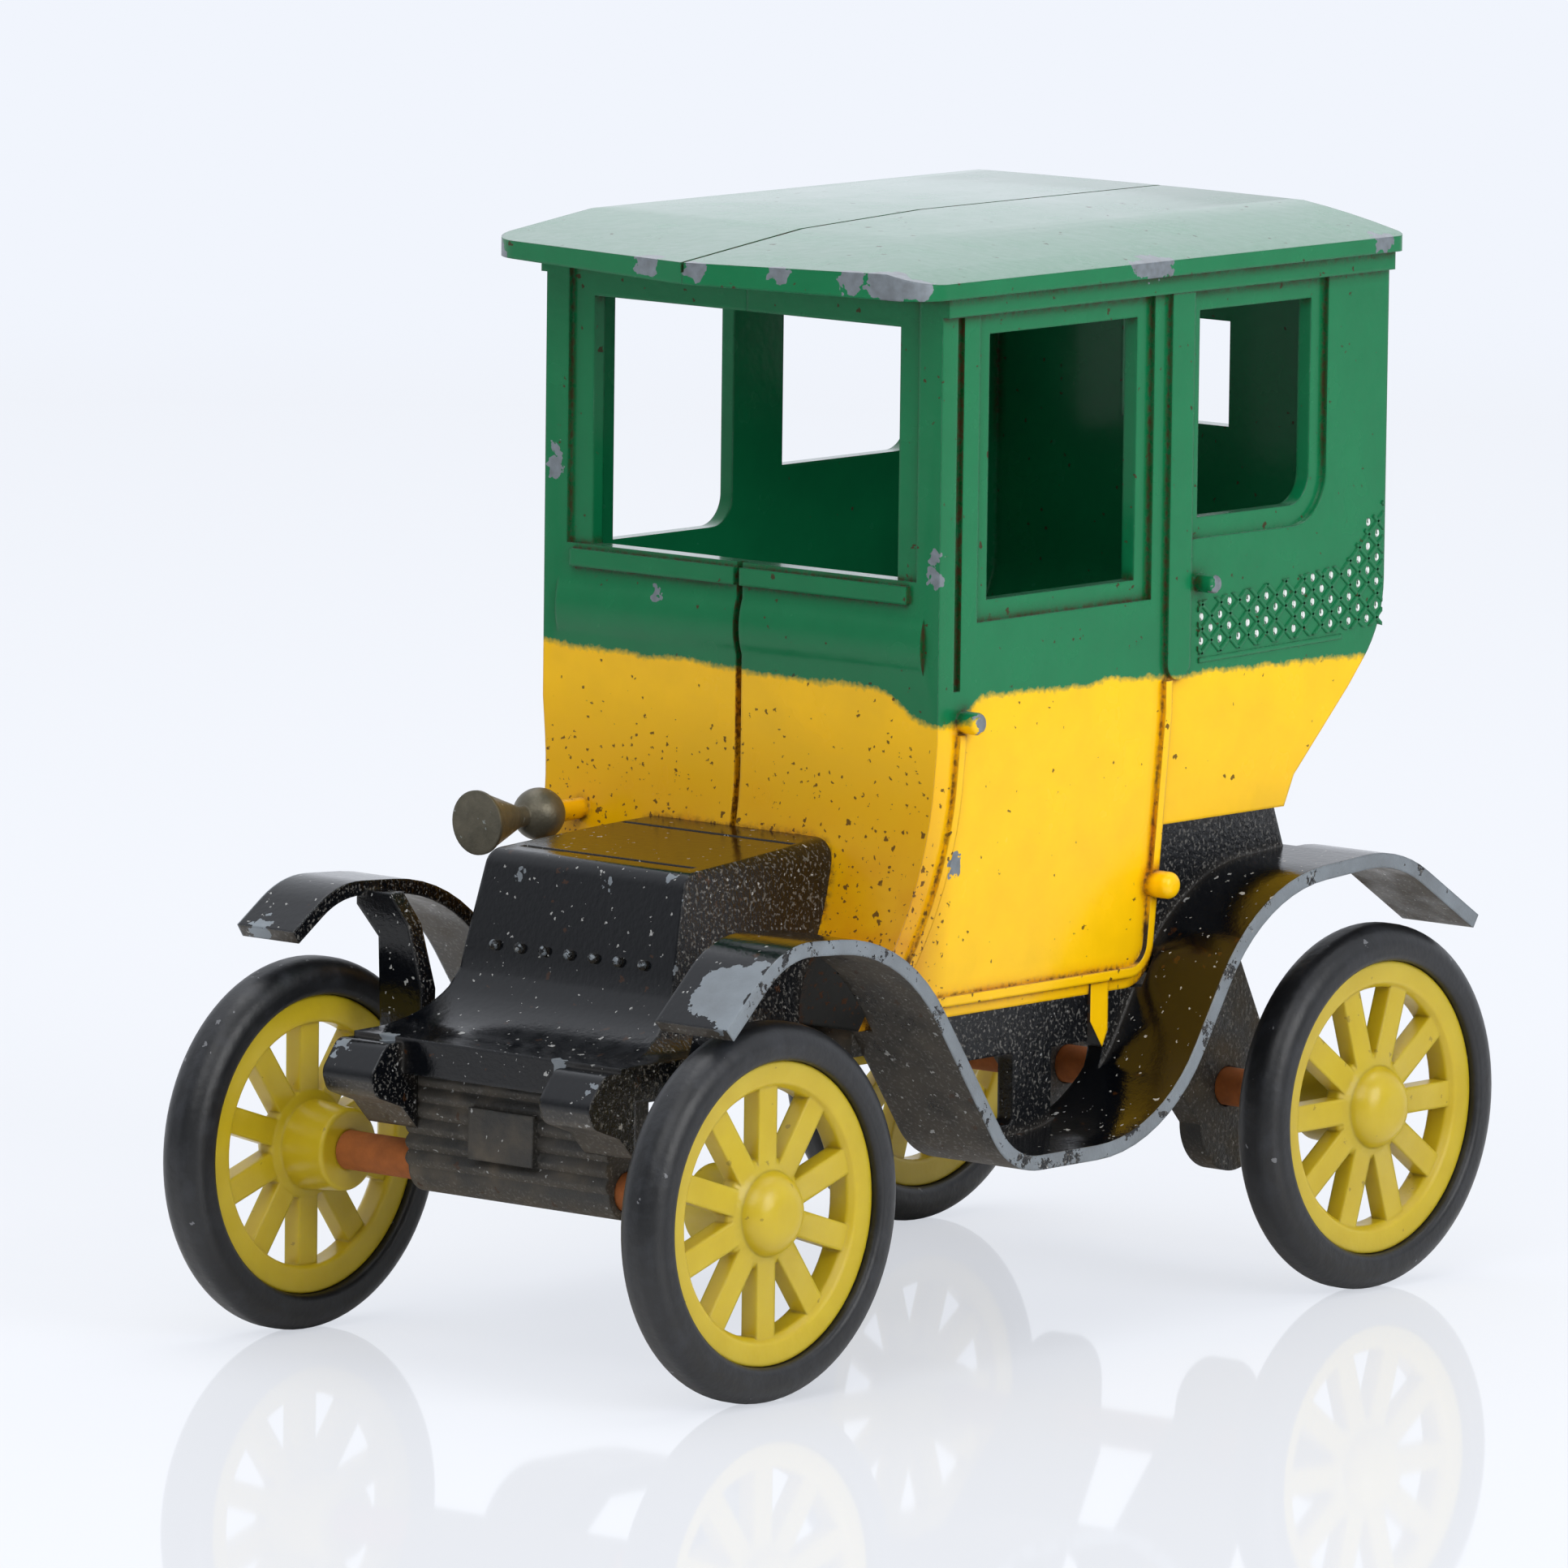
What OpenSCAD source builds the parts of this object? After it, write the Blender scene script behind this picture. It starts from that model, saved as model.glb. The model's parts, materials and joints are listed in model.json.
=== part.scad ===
// Toy taxi: a veteran closed cab in cast zinc on spoked plastic wheels.
// The car faces -Y, its left side is +X, and it stands on the plane Z = 0.
// Lengths along the car are measured from the middle of the wheelbase.

/* [Wheels and axles] */
// Outer diameter of a tyre
tyre_d = 19; // [18:0.1:20]
// Width of a tyre at its widest
tyre_w = 2.7; // [2.4:0.1:3]
// Diameter of a wheel over its rim flanges
rim_d = 15.2; // [14.6:0.1:15.8]
// Width of a rim
rim_w = 1.7; // [1.5:0.1:2.1]
// Radial thickness of a rim
rim_t = 1.4; // [1:0.1:1.8]
// Height of the rim flanges above the tyre seat
flange_h = 0.25; // [0.15:0.05:0.35]
// Width of each rim flange
flange_w = 0.25; // [0.2:0.05:0.35]
// Number of spokes in a wheel
spoke_count = 10; // [8:1:12]
// Width of a spoke
spoke_w = 1.35; // [1:0.05:1.5]
// Thickness of a spoke along the axle
spoke_t = 1; // [0.8:0.1:1.3]
// Rounding of the moulded edges of the wheel
mould_r = 0.2; // [0.1:0.05:0.3]
// Diameter of the domed hub cap
hub_d = 4.3; // [3.6:0.1:5]
// How far the hub cap stands out past the rim
hub_proud = 1; // [0.5:0.1:1.4]
// Diameter of the boss on the inner side of a wheel
boss_d = 4.6; // [3.8:0.1:5]
// Length of the boss past the inner side of the rim
boss_l = 2.4; // [2:0.1:3]
// Diameter of an axle
axle_d = 2; // [1.6:0.1:2.2]
// Radial play of an axle in its bearings
axle_play = 0.06; // [0.03:0.01:0.09]
// Distance between the two axles
wheelbase = 47.8; // [46:0.2:50]
// Distance between the middles of the two rims on one axle
track = 30.6; // [29.8:0.1:31.4]

/* [Cab] */
// How far the cab sits to the right of the frame's centre plane
cab_offset = 0.5; // [0:0.1:0.7]
// Width of the cab at the waist
cab_w = 26.4; // [25.6:0.1:27]
// Wall thickness of the cab castings
cab_wall = 1.1; // [0.8:0.1:1.4]
// Front panel, ahead of the middle of the wheelbase
cab_front = 7.7; // [7:0.1:8.4]
// Back panel, behind the middle of the wheelbase
cab_back = 27.9; // [27:0.1:29]
// Height of the door sill
sill_z = 16.8; // [16.2:0.1:17.4]
// Height of the bottom of the cab behind the door
rear_sill_z = 25.1; // [24.4:0.1:25.8]
// Height of the eaves
eave_z = 53.4; // [52.6:0.1:54.4]
// Height at which the sides begin to draw in
waist_z = 31; // [29:0.1:33]
// How far each side draws in between the waist and the sill
tuck_in = 1.2; // [0.6:0.1:1.6]
// Radius of the toe curve at the foot of the front panel
toe_r = 17.5; // [15:0.5:20]
// Height at which the toe curve begins
toe_z = 29; // [28:0.1:30]
// Height at which the toe curve becomes straight
toe_end_z = 20; // [19:0.1:22]
// Rear edge of the door, behind the middle of the wheelbase
door_back = 10.8; // [10.2:0.1:11.4]
// Radius of the lower rear corner of the door
door_corner_r = 2; // [1:0.1:3]
// Rear foot of the cab, behind the middle of the wheelbase
tail_foot = 20.6; // [20:0.1:21.2]
// How far the rear foot leans back
tail_knee_back = 0.6; // [0.3:0.1:1]
// Rise of that foot above the rear sill
tail_knee_up = 1.6; // [1.2:0.1:2]
// Height of the rear sweep above the rear sill
tail_sweep_h = 8.95; // [8.4:0.05:9.6]
// Radius where the rear sweep meets the upright back
tail_r = 6; // [4:0.5:8]

/* [Windows] */
// Height of the top of the side windows
win_top = 51.3; // [50.6:0.1:51.8]
// Front edge of the door window, behind the middle of the wheelbase
door_win_front = -3.7; // [-4.2:0.1:-3]
// Length of the door window
door_win_l = 11.6; // [10:0.1:12]
// Height of the door window
door_win_h = 13.4; // [12:0.1:14]
// Front edge of the quarter window, behind the middle of the wheelbase
quarter_win_front = 12.9; // [12.6:0.1:13.4]
// Length of the quarter window
quarter_win_l = 9; // [8:0.1:9.6]
// Height of the quarter window
quarter_win_h = 10.6; // [9.6:0.1:11.4]
// Radius of the lower rear corner of the quarter window
quarter_win_r = 1.6; // [0.8:0.1:2.4]
// How much further forward the pillar and quarter window are on the right side
right_win_forward = 3.4; // [0:0.1:3.6]
// How much shorter the door window is on the right side
right_door_win_cut = 2.3; // [0:0.1:2.6]
// How much longer the quarter window is on the right side
right_quarter_win_more = 1.8; // [0:0.1:2.2]
// How much higher the window sills are on the right side
right_win_lift = 0.85; // [0:0.05:1.2]
// Width of the windscreen opening
screen_w = 20.4; // [19:0.1:21]
// Height of the windscreen opening
screen_h = 12.7; // [11.6:0.1:13]
// Height of the top of the windscreen opening
screen_top = 51.7; // [51:0.1:52]
// Width of the back window
back_win_w = 7.2; // [6:0.1:8]
// Height of the back window
back_win_h = 5.5; // [4.5:0.1:6.5]
// Height of the top of the back window
back_win_top = 49; // [48:0.1:50]
// Width of the sunk frame round each window
frame_border = 1.05; // [0.7:0.05:1.1]
// Depth of the sunk frame
frame_sink = 0.3; // [0.15:0.05:0.5]

/* [Cab mouldings] */
// Width of the beads and of the window pillar tongue's edge
bead_w = 0.5; // [0.3:0.05:0.7]
// How far beads and mouldings stand proud
bead_h = 0.28; // [0.15:0.01:0.4]
// Distance of the door bead behind the front panel
door_bead_inset = 1.7; // [1.3:0.1:2.1]
// Height of the door bead's lower run above the sill
door_bead_up = 0.85; // [0.6:0.05:1.2]
// How far the door bead stands in from the rear edge of the door
door_bead_rear = 0.6; // [0.4:0.05:0.8]
// Distance of the corner post's groove from the front of the cab
post_groove_back = 1.2; // [1:0.1:1.5]
// Foot of that groove above the waist
post_groove_up = 2.5; // [2:0.1:3]
// Top of that groove below the eaves
post_groove_down = 1.1; // [0.8:0.1:1.5]
// Width of the pillar strip between the two side windows
pillar_w = 1.8; // [1.4:0.1:2.2]
// Height of the lower end of the pillar strip
pillar_foot_z = 32.6; // [32:0.1:34]
// Height of the swelled band under the windscreen
band_h = 2.9; // [2.2:0.1:3.4]
// Height of the lower edge of that band
band_z = 34.3; // [33.8:0.1:34.8]
// Height of the windscreen sill lip
lip_h = 0.9; // [0.6:0.1:1.2]
// Width of the groove between the two cab halves
seam_w = 0.4; // [0.1:0.05:0.5]
// Depth of that groove
seam_depth = 0.5; // [0.3:0.05:0.8]
// Diameter of the door handle peg
handle_d = 0.95; // [0.7:0.05:1.2]
// Length of the door handle peg
handle_l = 1.2; // [0.8:0.1:1.6]
// Diameter of the lamp peg at the waist
lamp_peg_d = 1.15; // [0.9:0.05:1.4]
// Length of the lamp peg
lamp_peg_l = 1.2; // [0.6:0.1:1.6]
// Diameter of the door hinge knob
knob_d = 1.4; // [1:0.1:1.8]
// Length of the door hinge knob
knob_l = 1.5; // [1:0.1:2]
// Height of the hinge knob above the sill
knob_up = 5.3; // [4.8:0.1:6]
// Width of the tab that locates each cab half in the frame
tab_w = 1.4; // [1.1:0.1:1.8]
// Length of that tab below the sill
tab_l = 2.8; // [2:0.1:3.2]
// Front edge of the tab, behind the middle of the wheelbase
tab_front = 5.9; // [5.4:0.1:6.4]

/* [Roof] */
// Width of the roof
roof_w = 28.4; // [27.8:0.1:29.2]
// Front of the roof at the centre line, ahead of the middle of the wheelbase
roof_front = 12.4; // [11.6:0.1:13.2]
// How far the front edge of the roof is bowed
roof_bow = 2; // [1:0.1:3]
// How far that edge is bowed on the right side, where it has been straightened
right_roof_bow = 1.1; // [0.6:0.1:2.4]
// Rear overhang of the roof past the back panel
roof_tail = 0.3; // [0.1:0.05:0.6]
// Thickness of the roof at its edge
roof_edge = 0.8; // [0.6:0.1:1.2]
// Height of the crown above the edge
roof_crown = 1.75; // [1.2:0.05:2.4]
// How much higher the eaves are at the right side than at the left
right_eave_lift = 0.35; // [0:0.05:0.6]
// Height of the crown above the edge on the right side, which is flatter
right_roof_crown = 0.35; // [0.25:0.05:1.2]
// How far the crown drops at the rear edge
roof_tail_drop = 0.45; // [0.2:0.05:0.7]
// How far the crown drops towards the front edge
roof_nose = 1.45; // [0.8:0.05:1.7]
// Where the crown begins to drop, behind the middle of the wheelbase
nose_start = 6; // [4:0.5:8]
// Length of the drop at the rear edge
tail_drop_l = 3; // [2:0.1:4]
// Radius of the front corners of the roof
roof_corner_r = 2.2; // [1:0.1:3]

/* [Mudguards] */
// Start of the front crest, behind the front axle
crest_back = 0.1; // [0:0.05:0.4]
// Outer face of the mudguards, from the centre plane
guard_out = 16.8; // [16.4:0.1:17.2]
// Width of the mudguards over the wheels
guard_w = 4.7; // [4.2:0.1:5]
// Thickness of the mudguard strip
guard_t = 0.75; // [0.6:0.05:0.9]
// Left front tip, ahead of the front axle
tip_ahead = 4.05; // [3.6:0.05:4.4]
// Left front tip, above the front axle
tip_up = 9.35; // [9.3:0.05:9.8]
// Right front tip, which has been bent up, ahead of the front axle
bent_tip_ahead = 3.1; // [2.6:0.05:4]
// Right front tip, above the front axle
bent_tip_up = 11; // [9.6:0.1:11.6]
// Highest corner of the front mudguard, above the front axle
crest_up = 13.15; // [12.8:0.05:13.5]
// Length of the front mudguard's crest
crest_l = 9; // [8.4:0.1:9.6]
// How much that crest falls towards the rear
crest_drop = 0.55; // [0.2:0.05:0.9]
// Radius at the front of that crest
crest_front_r = 5; // [4:0.1:5.6]
// Radius at the rear of that crest
crest_rear_r = 10; // [8:0.1:10.6]
// Start of the rear mudguard's crest, ahead of the rear axle
rear_crest_ahead = 10.65; // [10.2:0.05:11]
// Height of that start above the rear axle
rear_crest_up = 12.5; // [12.2:0.05:12.8]
// Radius at the start of the rear crest
rear_crest_r = 10; // [8:0.1:10.6]
// End of the rear crest, behind the rear axle
rear_brow_back = 0.5; // [0:0.1:1]
// Height of that end above the rear axle
rear_brow_up = 13.2; // [12.9:0.05:13.5]
// Radius at the end of the rear crest
rear_brow_r = 8; // [6:0.1:9]
// Rear tip of the mudguard, behind the rear axle
rear_tip_back = 7; // [6.4:0.1:7.6]
// Rear tip of the mudguard, above the rear axle
rear_tip_up = 9.05; // [8.6:0.05:9.6]
// Height of the running board, at the middle of the strip
board_z = 9.87; // [9.4:0.05:10.2]
// Slope of the strip in front of the running board
front_fall = 55; // [50:1:60]
// Slope of the strip behind the running board
rear_rise = 58; // [54:1:62]
// Radius at the front end of the running board
board_front_r = 4; // [3:0.1:5]
// Radius at the rear end of the running board
board_rear_r = 9.5; // [8:0.1:10]
// Clearance between the strip and the side of the cab
toe_gap = 0.45; // [0.3:0.05:0.6]
// Height above the axle from which the front strip is only as wide as the wheel cover
guard_step_up = 8; // [7.6:0.1:8.4]
// How far ahead of the cab's toe the strip keeps its full width
guard_step_ahead = 2.2; // [1.8:0.1:2.6]
// Thickness of the web between the strip and the cab
web_t = 1; // [0.8:0.1:1.2]
// Width of the post between the two holes of the web
post_w = 3; // [2.4:0.1:3.6]
// Top of those holes below the sill
hole_down = 2.4; // [2:0.1:3]
// Foot of those holes above the running board
hole_up = 0.9; // [0.7:0.1:1.2]
// Width of the web between the front hole and the strip
hole_side = 1; // [0.8:0.1:1.4]
// Corner radius of the front hole
hole_r = 0.3; // [0.1:0.05:0.5]
// Rear edge of the web, behind the middle of the wheelbase
web_back = 21.8; // [21.2:0.1:22.4]
// Stay under the front mudguard, behind the front axle
stay_back = 2.6; // [2.2:0.1:3]
// Thickness of that stay
stay_t = 1; // [0.8:0.1:1.3]
// Width of the stay under the mudguard
stay_foot = 3; // [2.6:0.1:3.4]
// Step between the stay and the edges of the apron
stay_lip = 0.2; // [0.1:0.05:0.3]

/* [Bonnet and apron] */
// Width of the bonnet at its top edges
bonnet_w = 14; // [13:0.1:15]
// Height of the bonnet at its rear
bonnet_rear_z = 25.6; // [25:0.1:26.2]
// Height of the bonnet at its front
bonnet_front_z = 24.9; // [24.2:0.1:25.4]
// Front of the bonnet top, ahead of the middle of the wheelbase
bonnet_front = 19.4; // [18.6:0.1:20]
// Wall thickness of the bonnet
bonnet_wall = 1.2; // [0.9:0.1:1.5]
// Radius of the long upper edges of the bonnet
bonnet_edge_r = 1.3; // [0.8:0.1:1.8]
// How far each side of the bonnet draws in towards its top
bonnet_draw = 0.5; // [0.3:0.05:0.8]
// Radius of the bonnet's front upper edge
bonnet_brow_r = 1; // [0.6:0.1:1.4]
// Height of the bonnet's rear wall above the sill
bonnet_seat_h = 1.5; // [1.2:0.1:2]
// Foot of the front slope, where it begins to flare
flare_z = 20; // [19:0.1:21]
// How far the foot of the slope stands ahead of the top
slope_lean = 1.3; // [0.8:0.1:1.8]
// Width of the apron
apron_w = 17.8; // [17.2:0.1:18.2]
// Front edge of the apron, ahead of the middle of the wheelbase
apron_front = 26.8; // [26.4:0.1:27.4]
// Height of the top of the apron
apron_z = 16.2; // [15.8:0.1:16.6]
// Depth of the apron's front edge
apron_h = 1.8; // [1.4:0.1:2]
// Width of a dumb iron
iron_w = 3.3; // [2.8:0.1:3.6]
// How far the dumb irons stand ahead of the apron
iron_l = 2.4; // [1.8:0.1:2.8]
// Depth of a dumb iron
iron_h = 3.5; // [2.8:0.1:3.8]
// Width of the cross grooves on the bonnet
groove_w = 0.35; // [0.2:0.05:0.5]
// Depth of those grooves
groove_depth = 0.25; // [0.15:0.05:0.4]
// Distance of the front groove from the front of the bonnet top
front_groove_back = 1.6; // [1.2:0.1:2]
// Distance of the rear groove from the cab
rear_groove_ahead = 2.5; // [2:0.1:3]

/* [Radiator and frame] */
// Width of the gilled radiator that carries the front axle
radiator_w = 13.4; // [12.6:0.1:14]
// Thickness of the radiator in front of and behind the axle
radiator_half_t = 1.45; // [1.35:0.05:1.6]
// Number of gills on the radiator
gill_count = 6; // [4:1:8]
// How far the gills stand out
gill_h = 0.28; // [0.15:0.01:0.4]
// Width of the plain boss on the radiator
pad_w = 4.3; // [3.6:0.1:5]
// Height of that boss
pad_h = 2.6; // [2:0.1:3]
// How far the boss stands out past the gills
pad_proud = 0.35; // [0.2:0.05:0.5]
// Foot of the starter pad above the front axle
pad_up = 0.9; // [0.6:0.1:1.2]
// Front edge of the floor behind the cab's toe
floor_back = 0.7; // [0.5:0.1:1]
// Thickness of the frame's floor
floor_t = 1.5; // [1.2:0.1:2]
// Width of a frame rail
rail_w = 1.6; // [1.2:0.1:2]
// Depth of a frame rail
rail_h = 1.7; // [1.4:0.1:1.9]
// Distance between the middles of the rails and of the axle hangers
rail_gap = 10.8; // [10:0.1:11.4]
// Thickness of a rear axle hanger
hanger_t = 1.4; // [1.2:0.1:2]
// Radius of the rounded foot of a hanger
hanger_r = 2.7; // [2.4:0.1:3]
// How far the middle of that foot lies behind the axle
hanger_back = 0.5; // [0:0.1:0.8]
// Length of a hanger where it leaves the frame
hanger_top_l = 7; // [6:0.1:8]
// Place where its front edge bends, ahead of the rear foot of the cab
hanger_bend = 5; // [4.4:0.1:5.6]
// Height of that bend above the axle
hanger_bend_up = 5; // [4.4:0.1:5.6]
// Height of the bend of its rear edge above the axle
hanger_rear_up = 2; // [1.4:0.1:2.6]
// How far the middle of that foot lies below the axle
hanger_drop = 1.8; // [1:0.1:2]

/* [Bulb horn] */
// Horn axis, from the centre plane towards the right side
horn_x = 10.2; // [9.6:0.1:10.6]
// Height of the horn axis
horn_z = 25.5; // [25:0.1:26]
// Diameter of the horn's mouth
horn_mouth_d = 3.3; // [2.8:0.1:3.8]
// Length of the trumpet
horn_trumpet_l = 3.4; // [2.8:0.1:4]
// Diameter of the bulb
horn_bulb_d = 2.7; // [2.2:0.1:3]
// Diameter of the neck
horn_neck_d = 1.1; // [0.8:0.05:1.4]
// Length of the neck
horn_neck_l = 0.6; // [0.4:0.05:0.8]
// Width of the rolled lip at the mouth
horn_lip = 0.35; // [0.25:0.05:0.5]
// Diameter of the peg that carries the horn
horn_peg_d = 1.1; // [0.8:0.05:1.3]
// Length of that peg
horn_peg_l = 2; // [1.4:0.1:2.4]

/* [Hidden] */
$fn = 64;
eps = 0.02;
far = 80;
arc_step = 6;

// Axle places
axle_z = tyre_d / 2;
front_axle_y = -wheelbase / 2;
rear_axle_y = wheelbase / 2;
axle_half_l = track / 2 + rim_w / 2 - flange_w;
bead_gap = 0.03;

// Cab places
cab_half = cab_w / 2;
front_y = -cab_front;
pillar_y = quarter_win_front - frame_border - pillar_w;
tail_knee = [tail_foot + tail_knee_back, rear_sill_z + tail_knee_up];
tail_brow_z = rear_sill_z + tail_sweep_h;
horn_seat_y = toe_y(horn_z);
bonnet_offset = cab_offset / 2;

// Roof heights
wall_top_z = eave_z + max(right_eave_lift, 0) + eps;
roof_top_z = eave_z + roof_edge + roof_crown;
roof_half = roof_w / 2;
nose_l = roof_front + nose_start;
nose_r = (pow(nose_l, 2) + pow(roof_nose, 2)) / (2 * roof_nose);

// Mudguard places: corners of the strip's middle line, seen from the side
crest_front = [front_axle_y + crest_back, axle_z + crest_up];
crest_rear = crest_front + [crest_l, -crest_drop];
rear_crest = [rear_axle_y - rear_crest_ahead, axle_z + rear_crest_up];
rear_brow = [rear_axle_y + rear_brow_back, axle_z + rear_brow_up];
rear_tip = [rear_axle_y + rear_tip_back, axle_z + rear_tip_up];
left_tip = [front_axle_y - tip_ahead, axle_z + tip_up];
right_tip = [front_axle_y - bent_tip_ahead, axle_z + bent_tip_up];
guard_in = guard_out - guard_w;
left_web = cab_half - tuck_in - cab_offset;
right_web = cab_half - tuck_in + cab_offset;
floor_w = left_web + right_web - 2 * web_t;

// Bonnet and frame places
apron_half = apron_w / 2;
apron_under = apron_z - apron_h;
slope_foot_y = -bonnet_front - slope_lean;
apron_core_y = slope_foot_y + bonnet_wall;
radiator_front = front_axle_y - radiator_half_t;
floor_front = toe_y(sill_z) + floor_back;

// Points and outlines

// Front panel at a height: upright, then a toe curve, then its straight run
function toe_y(z) =
    z >= toe_z ? front_y
    : z >= toe_end_z ? front_y - toe_r + sqrt(pow(toe_r, 2) - pow(toe_z - z, 2))
    : toe_y(toe_end_z) - (toe_end_z - z) * toe_slope();

function toe_slope() = tan(asin((toe_z - toe_end_z) / toe_r));

// Half width of the cab at a height
function side_x(z) = z >= waist_z ? cab_half : cab_half - tuck_in * (waist_z - z) / (waist_z - sill_z);

// Points down the front panel between two heights, set in by a distance
function toe_points(z_from, z_to, inset) =
    let (n = 12)
    [for (i = [0 : n]) let (z = z_from + (z_to - z_from) * i / n) [toe_y(z) + inset, z]];

function arc_points(c, r, a_from, a_to) =
    let (n = max(2, ceil(abs(a_to - a_from) / arc_step)))
    [for (i = [0 : n]) let (a = a_from + (a_to - a_from) * i / n) c + r * [cos(a), sin(a)]];

// The arc that rounds a corner b between a and c
function corner_points(a, b, c, r) =
    let (u = (a - b) / norm(a - b))
    let (v = (c - b) / norm(c - b))
    let (half = acos(max(-1, min(1, u * v))) / 2)
    let (m = b + (u + v) / norm(u + v) * r / sin(half))
    let (s = b + u * r / tan(half) - m)
    let (e = b + v * r / tan(half) - m)
    let (a0 = atan2(s[1], s[0]))
    let (turn = atan2(s[0] * e[1] - s[1] * e[0], s * e))
    arc_points(m, r, a0, a0 + turn);

// An outline whose corners [x, y, radius] are rounded; open runs keep their ends
function rounded(pts, closed = true) =
    let (n = len(pts))
    [for (i = [0 : n - 1])
        let (p = [pts[i][0], pts[i][1]])
        let (q = pts[(i + n - 1) % n])
        let (s = pts[(i + 1) % n])
        let (plain = pts[i][2] == 0 || (!closed && (i == 0 || i == n - 1)))
        each (plain ? [p] : corner_points([q[0], q[1]], p, [s[0], s[1]], pts[i][2]))];

// A band of even thickness along an open run of points
function ribbon(path, t) =
    let (n = len(path))
    let (nrm = [for (i = [0 : n - 1])
        let (d = path[min(i + 1, n - 1)] - path[max(i - 1, 0)])
        [-d[1], d[0]] / norm(d)])
    concat([for (i = [0 : n - 1]) path[i] + nrm[i] * t / 2],
        [for (i = [n - 1 : -1 : 0]) path[i] - nrm[i] * t / 2]);

// Place on the front slope of the strip at a height
function fall_y(z) = crest_rear[0] + (crest_rear[1] - z) / tan(front_fall);

// Middle line of one mudguard strip from its front tip to its tail
function guard_path(tip) =
    let (board_r = rear_crest[0] - (rear_crest[1] - board_z) / tan(rear_rise))
    rounded([[tip[0], tip[1], 0],
        [crest_front[0], crest_front[1], crest_front_r],
        [crest_rear[0], crest_rear[1], crest_rear_r],
        [fall_y(board_z), board_z, board_front_r],
        [board_r, board_z, board_rear_r],
        [rear_crest[0], rear_crest[1], rear_crest_r],
        [rear_brow[0], rear_brow[1], rear_brow_r],
        [rear_tip[0], rear_tip[1], 0]], false);

// Helpers that stand a flat outline up

module along_x(x_from, x_to) {
    translate([x_from, 0, 0])
        rotate([90, 0, 90])
            linear_extrude(x_to - x_from) children();
}

module along_y(y_from, y_to) {
    translate([0, y_to, 0])
        rotate([90, 0, 0])
            linear_extrude(y_to - y_from) children();
}

module peg_x(d, l, dome) {
    rotate([0, 90, 0])
        rotate_extrude()
            polygon(rounded([[0, 0, 0], [d / 2, 0, 0], [d / 2, l, dome], [0, l, 0]]));
}

module right_side() {
    mirror([1, 0, 0]) children();
}

// Cab

// Side outline of the cab, set in by a distance
module cab_side(inset) {
    polygon(concat(
        [[front_y + inset, wall_top_z]],
        toe_points(toe_z, sill_z, inset),
        rounded([
            [toe_y(sill_z) + inset, sill_z, 0],
            [door_back - inset, sill_z, inset > 0 ? 0 : door_corner_r],
            [door_back - inset, rear_sill_z, 0],
            [tail_foot - inset, rear_sill_z, 0],
            [tail_knee[0] - inset, tail_knee[1], 0],
            [cab_back - inset, tail_brow_z, tail_r - inset],
            [cab_back - inset, wall_top_z, 0]], false)));
}

// Everything inside the side outline, down past the sills
module cab_side_hollow() {
    cab_side(cab_wall);
    translate([toe_y(sill_z) + cab_wall, sill_z - cab_wall])
        square([door_back - toe_y(sill_z) - 2 * cab_wall, cab_wall + eps]);
    translate([door_back - cab_wall - eps, rear_sill_z - cab_wall])
        square([tail_foot - door_back + eps, cab_wall + eps]);
}

// Front outline of one half, grown by a distance, with its eaves lifted at the side
module cab_front_half(grow, eave_lift) {
    foot_z = sill_z - cab_wall;
    polygon([[0, foot_z], [side_x(foot_z) + grow, foot_z], [cab_half + grow, waist_z],
        [cab_half + grow, eave_at(cab_half + grow, eave_lift) + eps], [0, eave_z + eps]]);
}

// Height of the eaves at a distance from the seam
function eave_at(x, eave_lift) = eave_z + eave_lift * x / roof_half;

module cab_block(eave_lift) {
    intersection() {
        along_x(0, cab_half) cab_side(0);
        along_y(-far, far) cab_front_half(0, eave_lift);
    }
}

// A raised pattern that follows the drawn-in side
module side_relief(proud, eave_lift) {
    intersection() {
        along_x(cab_half - tuck_in - cab_wall / 2, cab_half + proud) children();
        along_y(-far, far) cab_front_half(proud, eave_lift);
    }
}

// A sunk pattern that follows the side
module side_sink(depth) {
    along_x(cab_half - depth, cab_half + 2 * bead_h) children();
}

module door_window(grow, cut, lift) {
    y0 = door_win_front - grow;
    y1 = door_win_front + door_win_l - cut + grow;
    z0 = win_top - door_win_h + lift - grow;
    z1 = win_top + grow;
    corner = lift > 0 ? quarter_win_r : 0;
    polygon(rounded([[y0, z0, 0], [y1, z0, corner], [y1, z1, 0], [y0, z1, 0]]));
}

module quarter_window(grow, forward, more, lift) {
    y0 = quarter_win_front - forward - grow;
    y1 = quarter_win_front - forward + quarter_win_l + more + grow;
    z0 = win_top - quarter_win_h + lift - grow;
    z1 = win_top + grow;
    polygon(rounded([[y0, z0, 0], [y1, z0, quarter_win_r + grow], [y1, z1, 0], [y0, z1, 0]]));
}

module windscreen(grow) {
    translate([-eps, screen_top - screen_h - grow])
        square([screen_w / 2 + grow + eps, screen_h + 2 * grow]);
}

// The bead round the lower door
module door_bead() {
    bead_z = sill_z + door_bead_up;
    bead_back = door_back - door_bead_rear;
    heel_z = bead_z + 3 * bead_w;
    polygon(ribbon(concat(
        toe_points(waist_z + door_bead_rear / 2, heel_z + bead_w, door_bead_inset),
        rounded([[toe_y(heel_z) + door_bead_inset, heel_z, 0],
            [toe_y(bead_z) + door_bead_inset, bead_z, bead_w],
            [bead_back, bead_z, max(door_corner_r - door_bead_rear, 0)],
            [bead_back, pillar_foot_z, 0]], false)), bead_w));
}

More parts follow.
